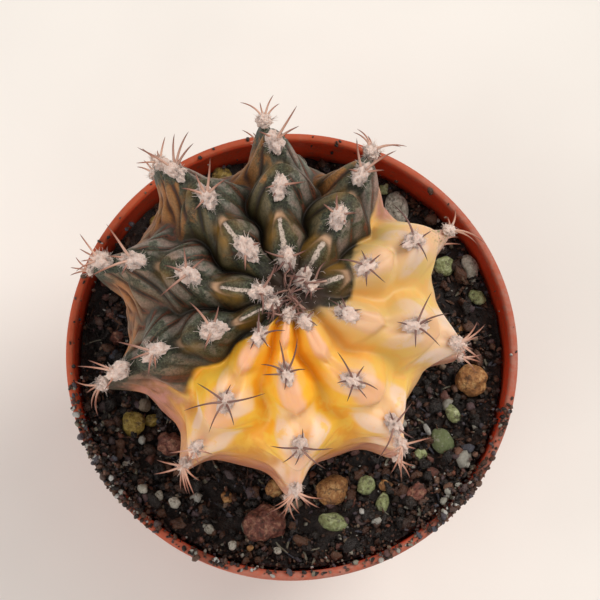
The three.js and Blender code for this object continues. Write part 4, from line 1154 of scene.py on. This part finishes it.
def build_small_stones(sort):
    pile = Pile()
    base, faces = ball(3)
    for index, (x, y, size, kind, *raised) in enumerate(SMALL_STONES):
        if kind != sort:
            continue
        dent = 1 + 0.5 * (noise3(base + index, 0.7, 17) - 0.5)
        dent = dent + 0.16 * (noise3(base + index, 0.25, 18) - 0.5)
        shape = base * dent[:, None] * np.array([1.0, 0.85, 0.7]) * size
        z = float(soil_height(x, y)) + 0.35 * size + sum(raised)
        pile.add(set_down(shape, index * 1.7, x, y, z), faces)
    return pile.build("small_pebble_" + sort)


# Pot

def pot_profile():
    """Outline of the pot from the underside, round the rim, to the floor, with softened corners."""
    bottom = POT_HEIGHT - COLLAR_HEIGHT
    inner = RIM_RADIUS - RIM_WIDTH
    foot = FOOT_RADIUS - WALL
    ring = FOOT_RADIUS - FOOT_RING_WIDTH
    corners = [
        (FOOT_PAD_RADIUS, 0.0, 0.1), (FOOT_PAD_RADIUS + 0.6, FOOT_GROOVE, 0.2),
        (ring - 0.6, FOOT_GROOVE, 0.2), (ring, 0.0, 0.15),
        (FOOT_RADIUS - 0.4, 0.0, 0.2), (FOOT_RADIUS, 0.5, 0.3),
        (WALL_TOP_RADIUS, bottom - 0.9, 0.35), (RIM_RADIUS - 0.4, bottom, 0.35),
        (RIM_RADIUS, POT_HEIGHT - 0.35, 0.35), (RIM_RADIUS - 0.35, POT_HEIGHT, 0.3),
        (inner + 0.3, POT_HEIGHT, 0.3), (inner, POT_HEIGHT - 0.5, 0.4),
        (inner - 0.4, bottom + 0.3, 0.4), (WALL_TOP_RADIUS - WALL, bottom - 1.2, 0.4),
        (foot, FLOOR + 1.0, 0.6), (foot - 1.0, FLOOR, 0.4),
    ]
    places = np.array([(0.0, 0.0)] + [corner[:2] for corner in corners] + [(0.0, FLOOR)])
    points = []
    for before, here, after, (_, _, size) in zip(places, places[1:], places[2:], corners):
        back, ahead = before - here, after - here
        cut = min(size, 0.45 * np.linalg.norm(back), 0.45 * np.linalg.norm(ahead))
        a, b = here + unit(back) * cut, here + unit(ahead) * cut
        for t in np.linspace(0, 1, 5):
            points.append((1 - t) ** 2 * a + 2 * t * (1 - t) * here + t * t * b)
    return points


def drain_cutter():
    """Upright cylinders where the drain holes are."""
    drills = bmesh.new()
    for i in range(DRAIN_COUNT):
        angle = 2 * math.pi * (i + 0.5) / DRAIN_COUNT
        place = (DRAIN_CIRCLE * math.cos(angle) * MM, DRAIN_CIRCLE * math.sin(angle) * MM, 0.0008)
        bmesh.ops.create_cone(
            drills, cap_ends=True, segments=40, radius1=DRAIN_RADIUS * MM, radius2=DRAIN_RADIUS * MM,
            depth=0.006, matrix=Matrix.Translation(place),
        )
    mesh = bpy.data.meshes.new("drain_cutter")
    drills.to_mesh(mesh)
    drills.free()
    return add_object("drain_cutter", mesh)


def build_pot():
    columns = 192
    grid = circles(pot_profile(), turns(columns))
    pot = add_mesh("pot_shell", grid.reshape(-1, 3), ring_faces(len(grid), columns))
    last = (len(grid) - 1) * columns
    close_ends(pot, range(columns - 1, -1, -1), range(last, last + columns))
    cutter = drain_cutter()
    cut = pot.modifiers.new("drains", "BOOLEAN")
    cut.operation = "DIFFERENCE"
    cut.solver = "EXACT"
    cut.object = cutter
    shaped = pot.evaluated_get(bpy.context.evaluated_depsgraph_get())
    finished = bpy.data.meshes.new_from_object(shaped)
    pot.modifiers.clear()
    pot.data = finished
    bpy.data.objects.remove(cutter, do_unlink=True)

    # Sharp corners stay sharp
    work = bmesh.new()
    work.from_mesh(pot.data)
    for edge in work.edges:
        if len(edge.link_faces) == 2 and edge.calc_face_angle(0.0) > math.radians(50):
            edge.smooth = False
    work.to_mesh(pot.data)
    work.free()
    x, y, z = np.array([vertex.co[:] for vertex in pot.data.vertices]).T / MM
    bottom = POT_HEIGHT - COLLAR_HEIGHT
    outer = np.interp(z, (0.5, bottom - 0.9, bottom), (FOOT_RADIUS, WALL_TOP_RADIUS, RIM_RADIUS))
    add_measure(pot, "soiled", spill_height(np.degrees(np.arctan2(y, x))))
    add_measure(pot, "inside", np.hypot(x, y) < outer - 1.1)
    return pot


def pot_look():
    look = Look("pot_plastic")
    height = look.axis("Z")
    cloud = look.noise(9.0, 4.0, 0.6)
    fine = look.noise(0.5, 4.0, 0.65)
    dust_spots = look.noise(1.3, 6.0, 0.72)
    colour = look.ramp(
        cloud, (0.3, (0.36, 0.05, 0.014)), (0.5, (0.42, 0.066, 0.02)), (0.7, (0.47, 0.084, 0.028)),
    )
    # The inside of the wall is painted a brighter red than the outside: painted glow of light shining
    # through the plastic, against the shade there
    inside = look.times(look.measure("inside"), look.span(height, 20.0, 40.0))
    painted_inner_glow = look.blend(look.span(dust_spots, 0.5, 0.7), (0.66, 0.06, 0.018), (0.4, 0.06, 0.026))
    colour = look.blend(inside, colour, painted_inner_glow)
    # Dust and painted highlight on the lip, more of it at the right, soil where crumbs lie and scuffs at the
    # foot
    lip = look.span(height, POT_HEIGHT - 0.9, POT_HEIGHT - 0.15)
    near = look.math("SUBTRACT", look.axis("X"), look.times(look.axis("Y"), 0.6))
    dust_and_highlight = look.times(lip, look.span(dust_spots, 0.38, 0.62, 0.35, 1.0))
    dust_and_highlight = look.times(dust_and_highlight, look.span(near, -16.0, 24.0, 0.15, 1.0))
    colour = look.blend(dust_and_highlight, colour, (0.37, 0.15, 0.11))
    soiled = look.times(look.measure("soiled"), look.span(dust_spots, 0.3, 0.55, 0.5, 1.3))
    top = look.span(height, POT_HEIGHT - 1.2, POT_HEIGHT - 0.3)
    colour = look.blend(look.math("MULTIPLY", soiled, top, clamp=True), colour, (0.025, 0.014, 0.01))
    low = look.plus(look.span(height, 0.0, 6.0, 0.5, 0.0), 0.12)
    colour = look.blend(look.times(low, look.span(dust_spots, 0.5, 0.7)), colour, (0.45, 0.22, 0.15))
    look.set(Base_Color=colour, Roughness=look.span(fine, 0.3, 0.7, 0.5, 0.66), Specular_IOR_Level=0.25)
    look.set(Normal=look.bump(fine, 0.05, 0.6, look.bump(cloud, 0.15, 0.3)))
    look.translucent(0.05, (1.0, 0.3, 0.15), 0.8)
    return look


# The object

dress(build_pot(), pot_look(), "pot_plastic", "pot")
dress(build_soil(), soil_look(), "soil", "soil")
crumbs = crumb_look()
coarse = scatter_crumbs("soil_crumbs", 2000, subdivisions=2, usual=0.55, most=1.4, spread=0.4, pile_up=0.9)
dress(coarse, crumbs, "soil")
grit = scatter_crumbs("soil_grit", 4200, subdivisions=1, usual=0.24, most=0.5, spread=0.35, pile_up=1.2)
dress(grit, crumbs, "soil")
dress(build_bark(), crumbs, "soil")
dress(build_spill(), crumbs, "soil")
dress(build_body(), skin_look(), "cactus_skin", "cactus")
dress(build_spines(), spine_look(), "spine")
wool = wool_look()
for piece in build_wool():
    dress(piece, wool, "wool")
stone_looks = {sort: stone_look(sort) for sort in STONE_COLOURS}
for sort, stone in stone_looks.items():
    dress(build_small_stones(sort), stone, "pebble_" + sort)
for index, (*measures, sort) in enumerate(PEBBLES):
    stone = build_stone(index, measures, sort)
    dress(stone, stone_looks[sort], "pebble_" + sort, "pebble_%02d" % (index + 1))

# Floor, light and camera

floor_look = Look("floor")
floor_tone = floor_look.noise(60.0, 3.0)
floor_look.set(
    Base_Color=floor_look.ramp(floor_tone, (0.3, (0.74, 0.72, 0.69)), (0.7, (0.8, 0.78, 0.75))),
    Roughness=0.8,
    Normal=floor_look.bump(floor_look.noise(0.8, 3.0), 0.03, 0.3),
)
FLOOR_HALF = 1500
floor_corners = [(x * FLOOR_HALF, y * FLOOR_HALF, 0) for x, y in ((-1, -1), (1, -1), (1, 1), (-1, 1))]
floor = add_mesh("floor", floor_corners, [(0, 1, 2, 3)])
floor.data.materials.append(floor_look.material)


def area_light(name, place, target, size, energy, colour):
    light = bpy.data.lights.new(name, "AREA")
    light.shape = "DISK"
    light.size = size
    light.energy = energy
    light.color = colour
    thing = add_object(name, light)
    thing.location = place
    thing.rotation_euler = (Vector(target) - Vector(place)).to_track_quat("-Z", "Y").to_euler()


area_light("key", (0.26, 0.2, 0.42), (0, 0, 0.06), 0.28, 1.6, (1.0, 0.95, 0.88))
area_light("fill", (-0.35, -0.2, 0.3), (0, 0, 0.05), 0.4, 0.9, (1.0, 0.95, 0.9))
world = bpy.data.worlds.new("studio")
bpy.context.scene.world = world
world.use_nodes = True
sky = world.node_tree.nodes["Background"].inputs
sky["Color"].default_value = (1.0, 0.97, 0.94, 1.0)
sky["Strength"].default_value = 0.65
bpy.context.scene.view_settings.view_transform = "Standard"

# The camera looks almost straight down and sees the middle of the rim at the photograph's pixel
CAMERA_TILT = math.radians(11.0)
CAMERA_TURN = math.radians(-12.0)
CAMERA_DISTANCE = 0.3
PHOTO_SIZE = 600.0
SENSOR_WIDTH = 36.0
PIXELS_PER_MM = 453.0 / 65.0
RIM_PIXEL = (293.0, 352.0)
back = Vector((
    math.sin(CAMERA_TURN) * math.sin(CAMERA_TILT),
    -math.cos(CAMERA_TURN) * math.sin(CAMERA_TILT),
    math.cos(CAMERA_TILT),
))
right = (-back).cross(Vector((0, 1, 0))).normalized()
up = right.cross(-back)
focal = PIXELS_PER_MM * CAMERA_DISTANCE / MM
ray = -back * focal + right * (RIM_PIXEL[0] - PHOTO_SIZE / 2) + up * (PHOTO_SIZE / 2 - RIM_PIXEL[1])
eye = Vector((0, 0, POT_HEIGHT * MM)) - ray.normalized() * CAMERA_DISTANCE
camera_data = bpy.data.cameras.new("camera")
camera_data.lens = focal / PHOTO_SIZE * SENSOR_WIDTH
camera_data.clip_start = 0.01
camera_data.clip_end = 20.0
camera = add_object("camera", camera_data)
camera.matrix_world = Matrix((
    (right.x, up.x, back.x, eye.x),
    (right.y, up.y, back.y, eye.y),
    (right.z, up.z, back.z, eye.z),
    (0, 0, 0, 1),
))
bpy.context.scene.camera = camera
